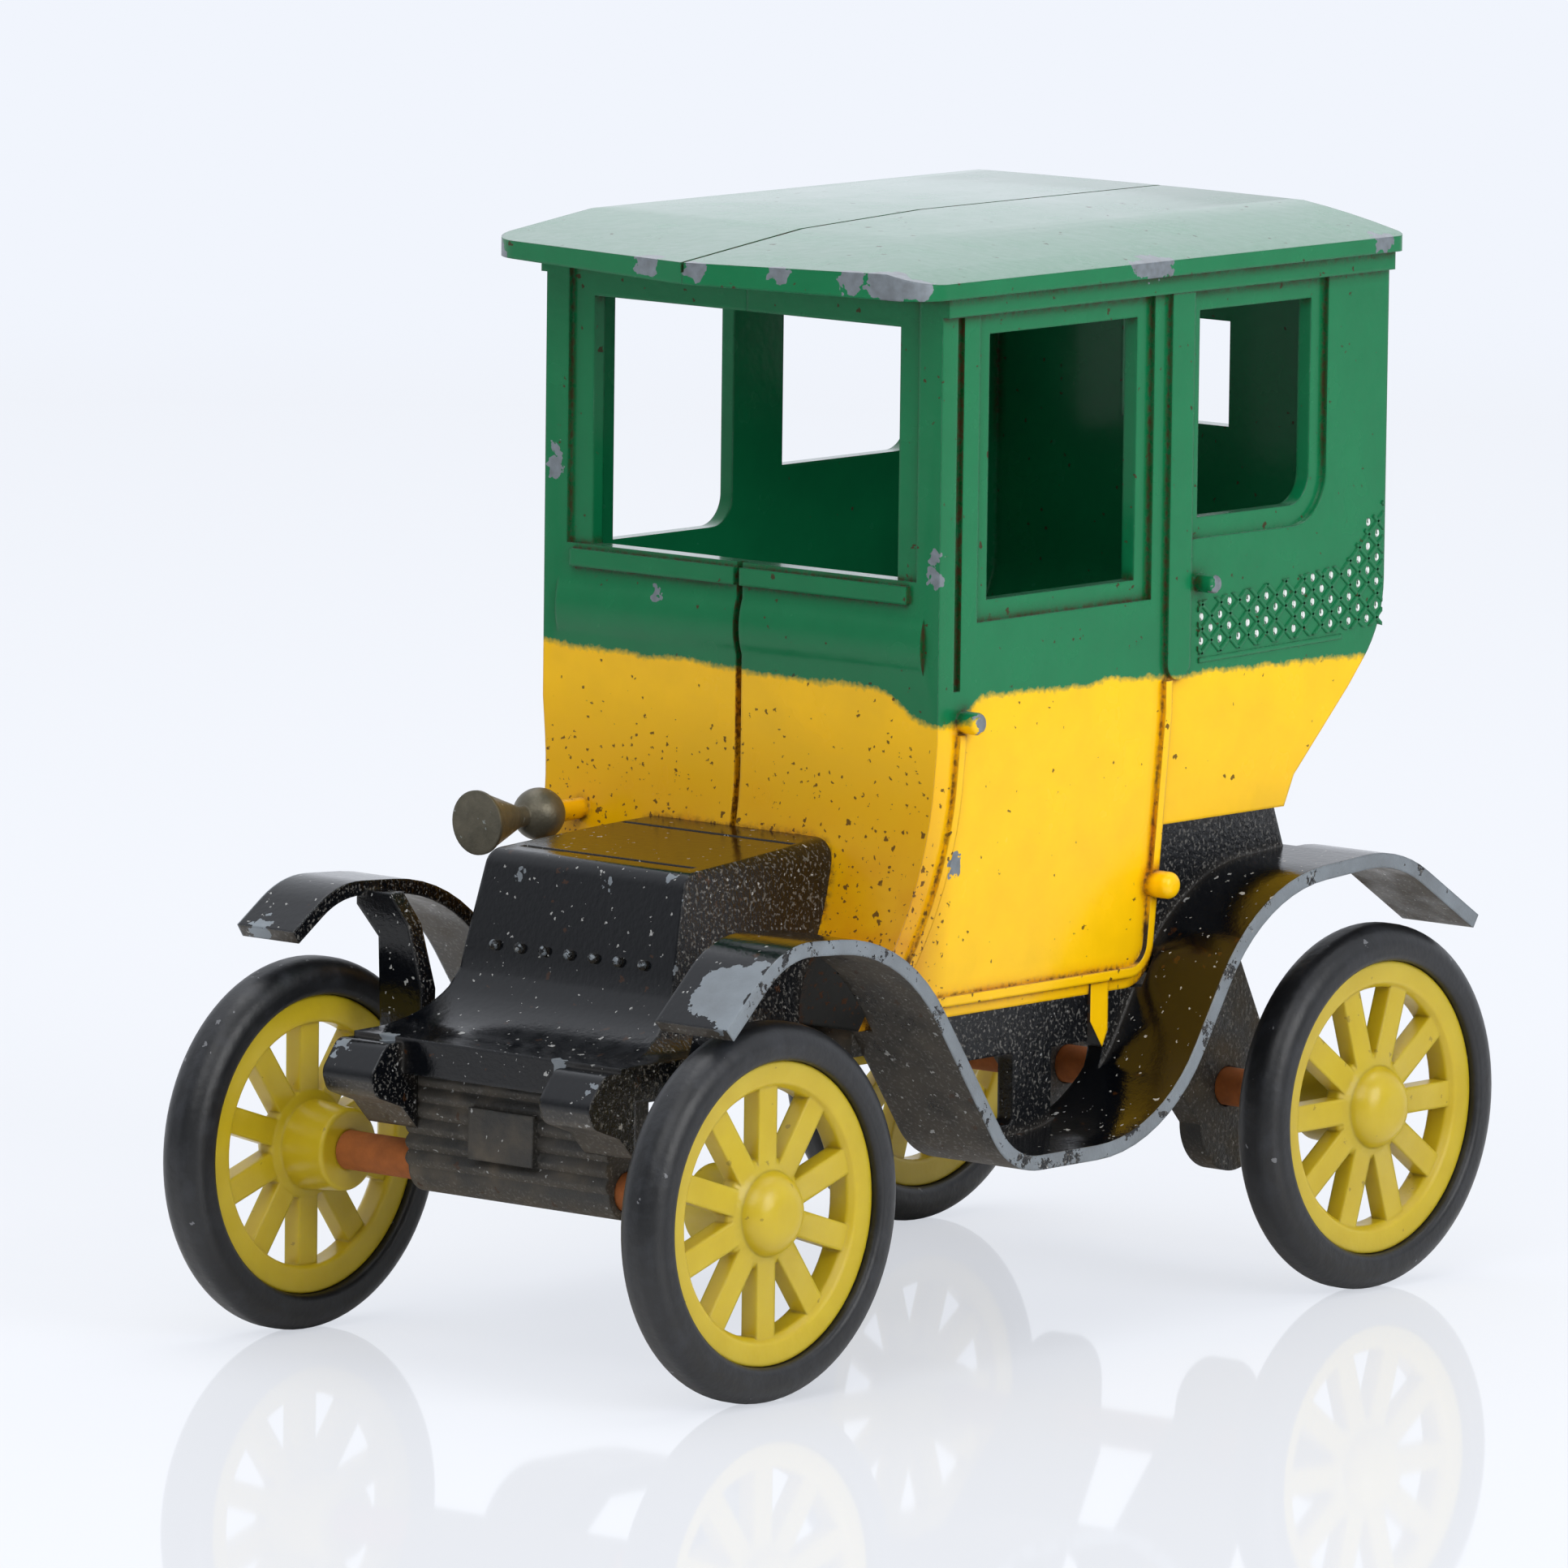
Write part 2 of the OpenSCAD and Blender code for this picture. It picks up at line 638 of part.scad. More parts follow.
// The strip between the side windows, with a rounded foot
module pillar_strip(forward) {
    y0 = pillar_y - forward;
    polygon(rounded([[y0, pillar_foot_z, pillar_w / 2.1],
        [y0 + pillar_w, pillar_foot_z, pillar_w / 2.1],
        [y0 + pillar_w, wall_top_z, 0], [y0, wall_top_z, 0]]));
}

// The swelled band under the windscreen
module band_outline() {
    swell_r = (pow(band_h / 2, 2) + pow(bead_h, 2)) / (2 * bead_h);
    half_angle = asin(band_h / 2 / swell_r);
    c = [front_y - bead_h + swell_r, band_z + band_h / 2];
    polygon(concat([[front_y + bead_h, band_z + band_h], [front_y + bead_h, band_z]],
        [for (p = arc_points(c, swell_r, 180 + half_angle, 180 - half_angle)) p]));
}

// Side outline of the roof, lowered by a depth
module roof_side(depth) {
    front = -roof_front - eps;
    back = cab_back + roof_tail + eps;
    top = roof_top_z - depth;
    polygon(concat([[back, eave_z], [back, top - roof_tail_drop], [back - tail_drop_l, top]],
        arc_points([front + nose_l, top - nose_r], nose_r, 90, 90 + asin(nose_l / nose_r)),
        [[front, eave_z]]));
}

module roof_half_block(bow, crown, eave_lift) {
    front = -roof_front;
    back = cab_back + roof_tail;
    bow_r = (pow(roof_half, 2) + pow(bow, 2)) / (2 * bow);
    crown_r = (pow(roof_half, 2) + pow(crown, 2)) / (2 * crown);
    intersection() {
        linear_extrude(roof_top_z + eps)
            polygon(rounded([[0, front, 0], [roof_half, front + bow, roof_corner_r],
                [roof_half, back, roof_edge], [0, back, 0]]));
        translate([0, front + bow_r, 0])
            cylinder(h = far, r = bow_r, $fn = 360);
        translate([0, -far, roof_top_z - crown_r])
            rotate([-90, 0, 0]) cylinder(h = 2 * far, r = crown_r, $fn = 720);
        along_x(0, roof_half) roof_side(0);
        along_y(-far, far)
            polygon([[0, eave_z], [roof_half, eave_at(roof_half, eave_lift)],
                [roof_half, roof_top_z + eps], [0, roof_top_z + eps]]);
    }
}

// One half of the cab: its windows and its roof may differ from side to side
module cab_half_casting(forward, cut, more, lift, bow, crown, eave_lift) {
    difference() {
        union() {
            cab_block(eave_lift);
            roof_half_block(bow, crown, eave_lift);
            side_relief(bead_h, eave_lift) door_bead();
            side_relief(bead_h, eave_lift) pillar_strip(forward);
            // drip moulding under the eaves
            along_x(cab_half - bead_h, cab_half + 1.4 * bead_h)
                translate([front_y, eave_at(cab_half, eave_lift) - 2 * bead_w])
                    square([cab_back + cab_front, 2 * bead_w + eps]);
            along_x(0, cab_half - 2 * bead_w) band_outline();
            // windscreen sill lip
            along_x(0, screen_w / 2 + frame_border)
                translate([front_y - bead_h, screen_top - screen_h - lip_h - bead_w / 2])
                    square([cab_wall, lip_h]);
            // locating tab with a pointed foot
            along_x(side_x(sill_z) - web_t, side_x(sill_z) + bead_h / 2)
                polygon([[tab_front, sill_z + cab_wall], [tab_front, sill_z - tab_l / 2],
                    [tab_front + tab_w * 0.7, sill_z - tab_l], [tab_front + tab_w, sill_z - tab_l * 0.7],
                    [tab_front + tab_w, sill_z + cab_wall]]);
            // door handle, lamp peg and hinge knob
            translate([cab_half - eps, pillar_y - forward + pillar_w + handle_d, win_top - door_win_h - bead_w])
                peg_x(handle_d, handle_l, handle_d / 5);
            translate([cab_half - lamp_peg_d / 2, front_y + lamp_peg_d * 1.7, waist_z + lamp_peg_d * 0.8])
                peg_x(lamp_peg_d, lamp_peg_l + lamp_peg_d / 2, lamp_peg_d / 4);
            translate([side_x(sill_z + knob_up) - knob_d / 3, door_back - knob_d / 3, sill_z + knob_up])
                peg_x(knob_d, knob_l + knob_d / 3, knob_d / 3);
        }
        // inside of the cab
        intersection() {
            along_x(-eps, cab_half) cab_side_hollow();
            along_y(-far, far) translate([-eps, 0]) cab_front_half(-cab_wall, eave_lift);
        }
        // windows and their sunk frames
        along_x(cab_half - 2 * cab_wall, cab_half + cab_wall) door_window(0, cut, lift);
        along_x(cab_half - 2 * cab_wall, cab_half + cab_wall) quarter_window(0, forward, more, lift);
        side_sink(frame_sink) door_window(frame_border, cut, lift);
        side_sink(frame_sink) quarter_window(frame_border, forward, more, lift);
        along_y(front_y - cab_wall, front_y + 2 * cab_wall) windscreen(0);
        along_y(front_y - eps, front_y + frame_sink)
            difference() {
                windscreen(1.4 * frame_border);
                translate([-eps, 0]) square([far, screen_top - screen_h]);
            }
        along_y(cab_back - 2 * cab_wall, cab_back + cab_wall)
            translate([-eps, back_win_top - back_win_h])
                square([back_win_w / 2 + eps, back_win_h]);
        // groove down the corner post
        side_sink(frame_sink)
            translate([front_y + post_groove_back, waist_z + post_groove_up])
                square([bead_w, eave_z - waist_z - post_groove_up - post_groove_down]);
        // groove where the two halves meet
        along_x(-eps, seam_w / 2)
            translate([front_y - cab_wall, sill_z - cab_wall])
                difference() {
                    square([cab_wall + seam_depth + bead_h, screen_top - screen_h - sill_z + cab_wall]);
                    translate([cab_wall - front_y, cab_wall - sill_z])
                        cab_side(seam_depth);
                }
        along_x(-eps, seam_w / 4)
            difference() {
                translate([-roof_front - 1, roof_top_z - far])
                    square([roof_front + cab_back + 2, far + 1]);
                roof_side(seam_depth);
                translate([-far, 0])
                    square([2 * far, eave_z + eps]);
            }
    }
}

module cab_left_half() {
    color("seagreen") translate([-cab_offset, 0, 0])
        cab_half_casting(0, 0, 0, 0, roof_bow, roof_crown, 0);
}

module cab_right_half() {
    color("seagreen") translate([-cab_offset, 0, 0]) {
        right_side()
            cab_half_casting(right_win_forward, right_door_win_cut, right_quarter_win_more, right_win_lift,
                right_roof_bow, right_roof_crown, right_eave_lift);
        translate([-horn_x, horn_seat_y + eps, horn_z])
            rotate([90, 0, 0])
                cylinder(h = horn_peg_l + eps, d = horn_peg_d);
    }
}

// Chassis

module chassis_frame() {
    color("dimgray") difference() {
        union() {
            // floor under the cab, which runs in below the step
            translate([web_t - right_web, floor_front, sill_z - floor_t])
                cube([floor_w, door_back + floor_t - floor_front, floor_t]);
            // step up behind the door and the deck under the rear of the cab
            translate([web_t - right_web, door_back, sill_z - floor_t])
                cube([floor_w, floor_t, rear_sill_z - sill_z + floor_t]);
            translate([web_t - right_web, door_back, rear_sill_z - floor_t])
                cube([floor_w, tail_foot - door_back, floor_t]);
            for (s = [-1, 1]) {
                // rail from the floor to the apron
                translate([s * rail_gap / 2 - rail_w / 2, apron_core_y, apron_under])
                    cube([rail_w, floor_front - apron_core_y + floor_t, rail_h]);
                // hanger that carries the rear axle
                along_x(s * rail_gap / 2 - hanger_t / 2, s * rail_gap / 2 + hanger_t / 2)
                    hanger_outline();
            }
        }
        translate([-far, rear_axle_y, axle_z])
            rotate([0, 90, 0]) cylinder(h = 2 * far, d = axle_d + 2 * axle_play);
    }
}

module hanger_outline() {
    foot = [rear_axle_y + hanger_back, axle_z - hanger_drop];
    root_z = rear_sill_z - floor_t / 2;
    polygon(concat(
        [[tail_foot, root_z], [tail_foot - hanger_top_l, root_z],
            [tail_foot - hanger_bend, axle_z + hanger_bend_up]],
        arc_points(foot, hanger_r, 180, 360),
        [[foot[0] + hanger_r, axle_z + hanger_rear_up]]));
}

// Bonnet with its flared apron and the two dumb irons

module bonnet_side() {
    flare_l = apron_front + slope_foot_y;
    polygon(concat(
        [[-apron_front, apron_under], [-apron_front, apron_z]],
        [for (t = [0.15 : 0.17 : 0.9])
            [-apron_front + flare_l * sin(90 * t), apron_z + (flare_z - apron_z) * (1 - cos(90 * t))]],
        rounded([[slope_foot_y, flare_z, 0], [-bonnet_front, bonnet_front_z, bonnet_brow_r],
            [toe_y(bonnet_rear_z), bonnet_rear_z, 0]], false),
        toe_points(bonnet_rear_z - bonnet_draw, sill_z, 0),
        [[toe_y(sill_z), apron_under]]));
}

module bonnet_section(inset) {
    half = bonnet_w / 2 - inset;
    flare_x = apron_half - inset - half;
    top = bonnet_rear_z - inset;
    under = apron_under - (inset > 0 ? inset : 0);
    right = concat(
        [[half + flare_x, under], [half + flare_x, apron_z]],
        [for (t = [0.2 : 0.2 : 1])
            [half + flare_x * (1 - sin(90 * t)), apron_z + (flare_z - apron_z) * (1 - cos(90 * t))]],
        corner_points([half, flare_z], [half - bonnet_draw, top], [0, top], bonnet_edge_r));
    polygon(concat(right, [for (i = [len(right) - 1 : -1 : 0]) [-right[i][0], right[i][1]]]));
}

module dumb_iron_side() {
    y0 = -apron_front - iron_l;
    polygon(rounded([[-apron_front - eps, apron_z - iron_h, 0],
        [y0 + iron_l / 6, apron_z - 4 * iron_h / 5, iron_l / 3],
        [y0, apron_z - iron_h / 2, iron_h / 5], [y0 + iron_l / 2, apron_z - iron_l / 12, iron_l / 3],
        [radiator_front - gill_h - eps, apron_z - iron_l / 8, 0],
        [radiator_front - gill_h - eps, apron_z - iron_h - iron_l / 2, 0]]));
}

module bonnet() {
    seat_z = sill_z + bonnet_seat_h;
    color("#14161c") translate([-bonnet_offset, 0, 0]) difference() {
        union() {
            intersection() {
                along_x(-apron_half, apron_half) bonnet_side();
                along_y(-far, 0) bonnet_section(0);
            }
            for (s = [-1, 1])
                translate([s * (apron_half - iron_w / 2), 0, 0])
                    along_x(-iron_w / 2, iron_w / 2)
                        dumb_iron_side();
        }
        // inside, open below and towards the cab
        intersection() {
            along_y(apron_core_y, -cab_front) bonnet_section(bonnet_wall);
            along_x(-apron_half, apron_half)
                polygon([[apron_core_y, apron_under - eps], [apron_core_y, flare_z],
                    [-bonnet_front + bonnet_wall, bonnet_front_z - bonnet_wall],
                    [toe_y(bonnet_rear_z) - bonnet_wall, bonnet_rear_z - bonnet_wall],
                    [toe_y(seat_z) - bonnet_wall, seat_z], [0, seat_z], [0, apron_under - eps]]);
        }
        // cross grooves on top
        for (y = [-bonnet_front + front_groove_back, front_y - rear_groove_ahead])
            translate([-bonnet_w / 2 + bonnet_edge_r, y - groove_w / 2, groove_floor(y)])
                cube([bonnet_w - 2 * bonnet_edge_r, groove_w, far]);
    }
}

// Bottom of a cross groove on the sloping bonnet top
function groove_floor(y) =
    bonnet_front_z + (bonnet_rear_z - bonnet_front_z) * (y + bonnet_front) / (bonnet_front - cab_front)
    - groove_depth;

module radiator_outline() {
    top = apron_under;
    pitch = (top - axle_z) / gill_count;
    polygon(concat(
        [[front_axle_y + radiator_half_t, top], [radiator_front, top]],
        [for (i = [0 : gill_count - 1])
            each [for (a = [0 : 45 : 135])
                [radiator_front - gill_h * sin(a), top - pitch * (i + a / 180)]]],
        arc_points([front_axle_y, axle_z], radiator_half_t, 180, 360)));
}

module gilled_radiator() {
    color("#3a3a3a") difference() {
        union() {
            along_x(-radiator_w / 2, radiator_w / 2) radiator_outline();
            translate([-pad_w / 2, radiator_front - gill_h - pad_proud, axle_z + pad_up])
                cube([pad_w, gill_h + pad_proud + eps, pad_h]);
        }
        translate([-far, front_axle_y, axle_z])
            rotate([0, 90, 0]) cylinder(h = 2 * far, d = axle_d + 2 * axle_play);
    }
}

// Mudguards with the running board between them

module guard_web(tip) {
    start = fall_y(sill_z);
    hole_top = sill_z - hole_down;
    hole_foot = board_z + hole_up;
    difference() {
        polygon(concat(
            [[start, sill_z]],
            [for (p = guard_path(tip)) if (p[0] > start + eps && p[0] < web_back - 2 * guard_t / 5) p],
            [[web_back, rear_crest[1]], [tail_foot, rear_sill_z],
                [door_back, rear_sill_z], [door_back, sill_z]]));
        // two lightening holes beside a post
        polygon(rounded([[fall_y(hole_top) + hole_side, hole_top, hole_r], [0, hole_top, hole_r],
            [0, hole_foot, hole_r], [fall_y(board_z) + 2 * hole_side, hole_foot, hole_r]]));
        polygon(concat([[post_w, hole_top], [post_w, hole_foot]],
            arc_points([post_w + hole_side / 2, hole_top], hole_top - hole_foot, -90, 0)));
        // slot for the cab's locating tab
        translate([tab_front - axle_play, sill_z - tab_l - axle_play])
            square([tab_w + 2 * axle_play, tab_l + 2 * axle_play]);
    }
}

// The bent strip: over the wheels it starts further out than the web
module guard_strip(tip, web) {
    difference() {
        along_x(web - web_t, guard_out) polygon(ribbon(guard_path(tip), guard_t));
        translate([0, -far, axle_z + guard_step_up])
            cube([guard_in, far + toe_y(sill_z) - guard_step_ahead, far]);
        translate([0, web_back, axle_z])
            cube([guard_in, far, far]);
    }
}

// Front view of the stay between the mudguard and the apron
module stay_outline(apron_side, strip_in) {
    top = crest_front[1] - guard_t / 3;
    polygon([[apron_side, apron_under + stay_lip], [strip_in - stay_lip, apron_under + stay_lip],
        [strip_in, top - 3 * stay_foot / 4], [strip_in + stay_foot / 2, top - guard_t],
        [strip_in + stay_foot / 2, top], [strip_in - stay_foot / 4, top],
        [strip_in - 2 * stay_foot / 3, top - stay_foot / 2], [strip_in - stay_foot, apron_z + stay_foot / 2],
        [apron_side, apron_z - stay_lip]]);
}

module mudguard(tip, web, apron_side) {
    color("#14161c") {
        difference() {
            union() {
                guard_strip(tip, web);
                along_x(web - web_t, web) guard_web(tip);
            }
            // both pass the cab's toe and door with a clearance
            translate([0, -far, sill_z])
                cube([web + toe_gap, far + door_back, far]);
        }
        translate([0, front_axle_y + stay_back, 0])
            along_y(-stay_t / 2, stay_t / 2) stay_outline(apron_side, max(guard_in, web - web_t));
    }
}

module left_mudguard() {
    mudguard(left_tip, left_web, apron_half - bonnet_offset);
}

module right_mudguard() {
    right_side() mudguard(right_tip, right_web, apron_half + bonnet_offset);
}

// Horn

module bulb_horn() {
    mouth_y = horn_trumpet_l;
    ball = horn_bulb_d / 2;
    seat = sqrt(pow(ball, 2) - pow(horn_peg_d / 2, 2));
    color("#6e695a")
        translate([-horn_x - cab_offset, horn_seat_y - horn_peg_l - seat, horn_z])
            rotate([90, 0, 0])
                rotate_extrude()
                    polygon(concat(
                        [[0, -seat], [horn_peg_d / 2, -seat]],
                        arc_points([0, 0], ball, asin(-seat / ball) + arc_step, acos(horn_neck_d / 2 / ball)),
                        [[horn_neck_d / 2, ball + horn_neck_l / 2],
                            [horn_neck_d / 2 + horn_neck_l / 6, ball + horn_neck_l],
                            [horn_mouth_d / 2 - horn_lip / 3, ball + mouth_y - horn_lip],
                            [horn_mouth_d / 2, ball + mouth_y - horn_lip / 2],
                            [horn_mouth_d / 2, ball + mouth_y], [0, ball + mouth_y]]));
}

// Wheels

// Section of rim, hub cap and boss, with the axle direction pointing outwards
module wheel_body() {
    rim_r = rim_d / 2;
    seat_r = rim_r - flange_h;
    half = rim_w / 2;
    cap_l = half + hub_proud;
    rotate_extrude()
        polygon(rounded([[rim_r - rim_t, -half, mould_r], [rim_r, -half, mould_r / 2],
            [rim_r, -half + flange_w, 0],
            [seat_r, -half + flange_w, 0], [seat_r, half - flange_w, 0], [rim_r, half - flange_w, 0],
            [rim_r, half, mould_r / 2], [rim_r - 4 * rim_t / 5, half - mould_r / 2, mould_r],
            [rim_r - rim_t, half - rim_t / 3, mould_r]]));
    rotate_extrude()
        polygon(rounded([[0, -half - boss_l, 0], [boss_d / 2 - mould_r, -half - boss_l, mould_r],
            [boss_d / 2, -spoke_t / 2 - mould_r, 0], [boss_d / 2 + spoke_t / 2, -spoke_t / 2, mould_r],
            [boss_d / 2 + spoke_t / 2, spoke_t / 2 - mould_r, mould_r], [hub_d / 2, spoke_t / 2 + mould_r, 0],
            [hub_d / 2 - mould_r, cap_l, hub_d / 2.8], [0, cap_l, 0]]));
}

module wheel(phase) {
    color("#c8b92d") difference() {
        union() {
            wheel_body();
            for (i = [0 : spoke_count - 1])
                rotate(phase + i * 360 / spoke_count)
                    translate([axle_d, -spoke_w / 2, -spoke_t / 2])
                        cube([rim_d / 2 - rim_t / 2 - axle_d, spoke_w, spoke_t]);
        }
        translate([0, 0, -far])
            cylinder(h = far + axle_half_l - track / 2, d = axle_d);
    }
}

module tyre() {
    seat_r = rim_d / 2 - flange_h;
    half = rim_w / 2 - flange_w;
    crown = tyre_d / 2;
    color("#1c1f26")
        rotate_extrude()
            polygon(rounded([[seat_r, -half, 0], [rim_d / 2 + bead_gap, -half, 0],
                [rim_d / 2 + bead_gap, -tyre_w / 2, tyre_w / 7], [crown, -tyre_w / 2, tyre_w * 0.42],
                [crown, tyre_w / 2, tyre_w * 0.42], [rim_d / 2 + bead_gap, tyre_w / 2, tyre_w / 7],
                [rim_d / 2 + bead_gap, half, 0], [seat_r, half, 0]]));
}

// Places a wheel or tyre, outer side towards +X or -X
module at_wheel(side, y) {
    translate([side * track / 2, y, axle_z])
        rotate([0, side * 90, 0]) children();
}

module axle(y) {
    color("#b0703c")
        translate([-axle_half_l, y, axle_z])
            rotate([0, 90, 0]) cylinder(h = 2 * axle_half_l, d = axle_d);
}

spoke_half_step = 180 / spoke_count;

cab_left_half();
cab_right_half();
chassis_frame();
bonnet();
gilled_radiator();
left_mudguard();
right_mudguard();
bulb_horn();
axle(front_axle_y);  // front_axle
axle(rear_axle_y);  // rear_axle
at_wheel(1, front_axle_y) wheel(0);  // front_left_wheel
at_wheel(-1, front_axle_y) wheel(0);  // front_right_wheel
at_wheel(1, rear_axle_y) wheel(spoke_half_step);  // rear_left_wheel
at_wheel(-1, rear_axle_y) wheel(spoke_half_step);  // rear_right_wheel
at_wheel(1, front_axle_y) tyre();  // front_left_tyre
at_wheel(-1, front_axle_y) tyre();  // front_right_tyre
at_wheel(1, rear_axle_y) tyre();  // rear_left_tyre
at_wheel(-1, rear_axle_y) tyre();  // rear_right_tyre
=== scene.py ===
import json
import math

import bpy
from mathutils import Matrix, Vector

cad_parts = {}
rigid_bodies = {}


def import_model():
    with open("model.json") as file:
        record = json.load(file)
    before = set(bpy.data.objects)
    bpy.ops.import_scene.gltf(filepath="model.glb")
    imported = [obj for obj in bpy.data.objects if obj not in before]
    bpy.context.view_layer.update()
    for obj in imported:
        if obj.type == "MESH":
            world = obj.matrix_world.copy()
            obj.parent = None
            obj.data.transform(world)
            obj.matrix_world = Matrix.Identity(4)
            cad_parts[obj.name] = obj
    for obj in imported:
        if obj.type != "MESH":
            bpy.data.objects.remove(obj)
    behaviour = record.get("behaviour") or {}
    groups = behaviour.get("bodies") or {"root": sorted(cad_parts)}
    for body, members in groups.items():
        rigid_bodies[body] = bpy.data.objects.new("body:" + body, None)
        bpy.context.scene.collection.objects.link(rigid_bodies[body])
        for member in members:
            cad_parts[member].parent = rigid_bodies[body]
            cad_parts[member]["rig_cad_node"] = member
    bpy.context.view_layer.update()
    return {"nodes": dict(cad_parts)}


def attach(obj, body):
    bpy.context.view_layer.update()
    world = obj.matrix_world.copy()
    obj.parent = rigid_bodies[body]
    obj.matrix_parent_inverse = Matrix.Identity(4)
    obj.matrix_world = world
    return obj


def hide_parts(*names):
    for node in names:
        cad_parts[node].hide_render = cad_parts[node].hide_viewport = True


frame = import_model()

bl_info = {
    "name": "Toy taxi",
    "version": (1, 0, 0),
    "blender": (4, 5, 0),
    "location": "View3D > Sidebar > Taxi",
    "description": "Paint, lattice, rivets, wheels and studio for a worn die-cast toy taxi",
    "category": "Object",
}

MM = 0.001
AXLE_NAMES = ("front", "rear")
# each side of the car, and the way it faces along X
SIDES = {"left": 1, "right": -1}

# Places on the toy, in millimetres
CAB_CENTRE_X = -0.5
CAB_MIDDLE = (CAB_CENTRE_X, 9.0, 25.0)
FRONT_PANEL_INSIDE = -7.2
LEFT_FRONT_CORNER = (12.6, -7.6, 0.0)
SIDE_PANEL_OUT = 13.2
MUDGUARD_RIM = 16.74
RIVET_ROW_MIDDLE = (-0.25, -20.79, 20.35)

# Chips in the paint: place and radius in millimetres
CAB_CHIPS = (
    (13.8, 8.0, 54.2, 1.15), (13.8, 6.6, 54.0, 0.75), (11.7, -11.0, 54.4, 1.35), (9.6, -11.6, 54.3, 1.0),
    (13.3, -10.2, 54.3, 0.9), (-3.1, -12.4, 54.4, 0.85), (5.2, -12.1, 54.4, 0.75), (0.3, -12.5, 54.3, 0.7),
    (13.6, 26.2, 54.2, 0.8), (-14.3, -11.2, 54.0, 0.95), (-13.0, -7.8, 42.8, 0.5),
    (-13.0, -7.8, 43.6, 0.45), (12.4, -7.8, 39.3, 0.5), (12.4, -7.8, 40.3, 0.45), (12.2, -5.7, 24.6, 0.55),
    (-5.9, -8.0, 36.9, 0.5), (14.3, 13.0, 37.4, 0.75), (14.4, -5.7, 32.0, 0.8), (-14.8, -5.7, 32.0, 0.8),
    (-15.3, 9.6, 37.4, 0.75))
BLACK_CHIPS = (
    (15.0, -26.4, 20.6, 1.75), (16.0, -27.2, 19.7, 1.1), (15.9, -25.4, 21.4, 0.9), (7.2, -19.6, 24.6, 0.4),
    (-15.5, -26.8, 20.6, 0.7), (-4.4, -19.9, 24.0, 0.42), (1.4, -19.9, 24.0, 0.42), (5.2, -19.5, 24.7, 0.4),
    (-8.6, -28.6, 16.0, 0.7), (8.2, -28.9, 15.8, 0.6), (6.6, -20.0, 23.4, 0.38), (6.8, -20.4, 21.9, 0.36),
    (7.0, -20.7, 20.6, 0.36), (-7.0, -26.7, 16.1, 0.5), (4.5, -26.8, 16.1, 0.4))

# The cane lattice, in millimetres along Y and up Z: a low band that rises at its rear end
LATTICE_MIDDLE = (20.5, 37.5)
BAND_FRONT, RISE_FRONT, RISE_REAR = 12.7, 24.6, 27.7
BAND_START, BAND_FOOT, BAND_TOP = 13.0, 33.7, 36.45
RISE_START, RISE_TOP = 37.35, 40.8
FOOT_SLOPE, TOP_SLOPE, RISE_SLOPE = 0.02, 0.08, 1.25
LATTICE_BAR_LENGTH = 26.0
BORDER_MIDDLE, BORDER_LENGTH = (18.6, 33.5), 11.6
# how far the lattice's points stay from its long edges and from its ends
POINT_EDGE, POINT_END = 0.15, 0.2

# Viewing direction, read from the photograph: angles in radians, and a long lens far away
VIEW_AZIMUTH, VIEW_ELEVATION, VIEW_ROLL = 0.7104575, 0.1352466, 0.0122974
VIEW_DISTANCE, VIEW_TARGET = 782.36 * MM, Vector((-0.5, -4.073, 27.348)) * MM
VIEW_LENS, VIEW_SENSOR = 354.04, 36

# Studio: the table in metres, and for each lamp its name, place and width in metres and watts
TABLE_SIZE = 8
TABLE_END, TABLE_FADE = 400, 90
LAMP_TARGET = Vector((0, 0, 25 * MM))
SOFTBOXES = (
    ("key_softbox", (0.2, -0.45, 0.5), 0.45, 1.5),
    ("left_softbox", (0.62, -0.05, 0.3), 0.4, 2.2),
    ("top_softbox", (-0.1, 0.15, 0.7), 0.6, 2.2))


def linear(hex_colour):
    """sRGB hex, as #rrggbb, to linear RGBA."""
    parts = [int(hex_colour[i:i + 2], 16) / 255 for i in (1, 3, 5)]
    return tuple(c / 12.92 if c <= 0.04045 else ((c + 0.055) / 1.055) ** 2.4 for c in parts) + (1.0,)


def colour_prop(name, words, hex_colour):
    return bpy.props.FloatVectorProperty(
        name=name, description=words, default=linear(hex_colour), size=4, subtype="COLOR", min=0, max=1)


def length_prop(name, words, mm):
    return bpy.props.FloatProperty(name=name, description=words, default=mm * MM, unit="LENGTH")


class TaxiColours(bpy.types.PropertyGroup):
    green: colour_prop("Green enamel", "Upper cab and roof", "#0f7347")
    yellow: colour_prop("Yellow enamel", "Lower cab", "#ffc806")
    black: colour_prop("Black enamel", "Bonnet and mudguards", "#05070b")
    soot: colour_prop("Dusty black", "Frame and radiator", "#2c2c2b")
    zinc: colour_prop("Bare zinc", "Metal under the paint", "#929ca4")
    # grime also darkens the cab's deepest corners found by occlusion, where it is partly dirt and partly
    # painted shade
    grime_and_shade: colour_prop("Grime", "Dirt in corners and specks", "#40240c")
    # stain also tints the cab's hollows found by occlusion, where it is partly stain and partly painted
    # shade
    stain_and_shade: colour_prop("Stain", "Brown film where dirt was wiped into corners", "#b98a4a")
    dust: colour_prop("Dust", "Grey brown film under the mudguards", "#5c554b")
    wheel: colour_prop("Wheel plastic", "Moulded wheels", "#c9b223")
    rubber: colour_prop("Rubber", "Tyres", "#0e1014")
    horn: colour_prop("Horn metal", "Tarnished horn", "#77705f")
    rust: colour_prop("Rust", "Rusted axles", "#bd6a2c")
    floor: colour_prop("Floor", "Gloss white table", "#f4f5f8")
    backdrop: colour_prop("Backdrop", "Pale wall behind the table", "#f1f5fd")


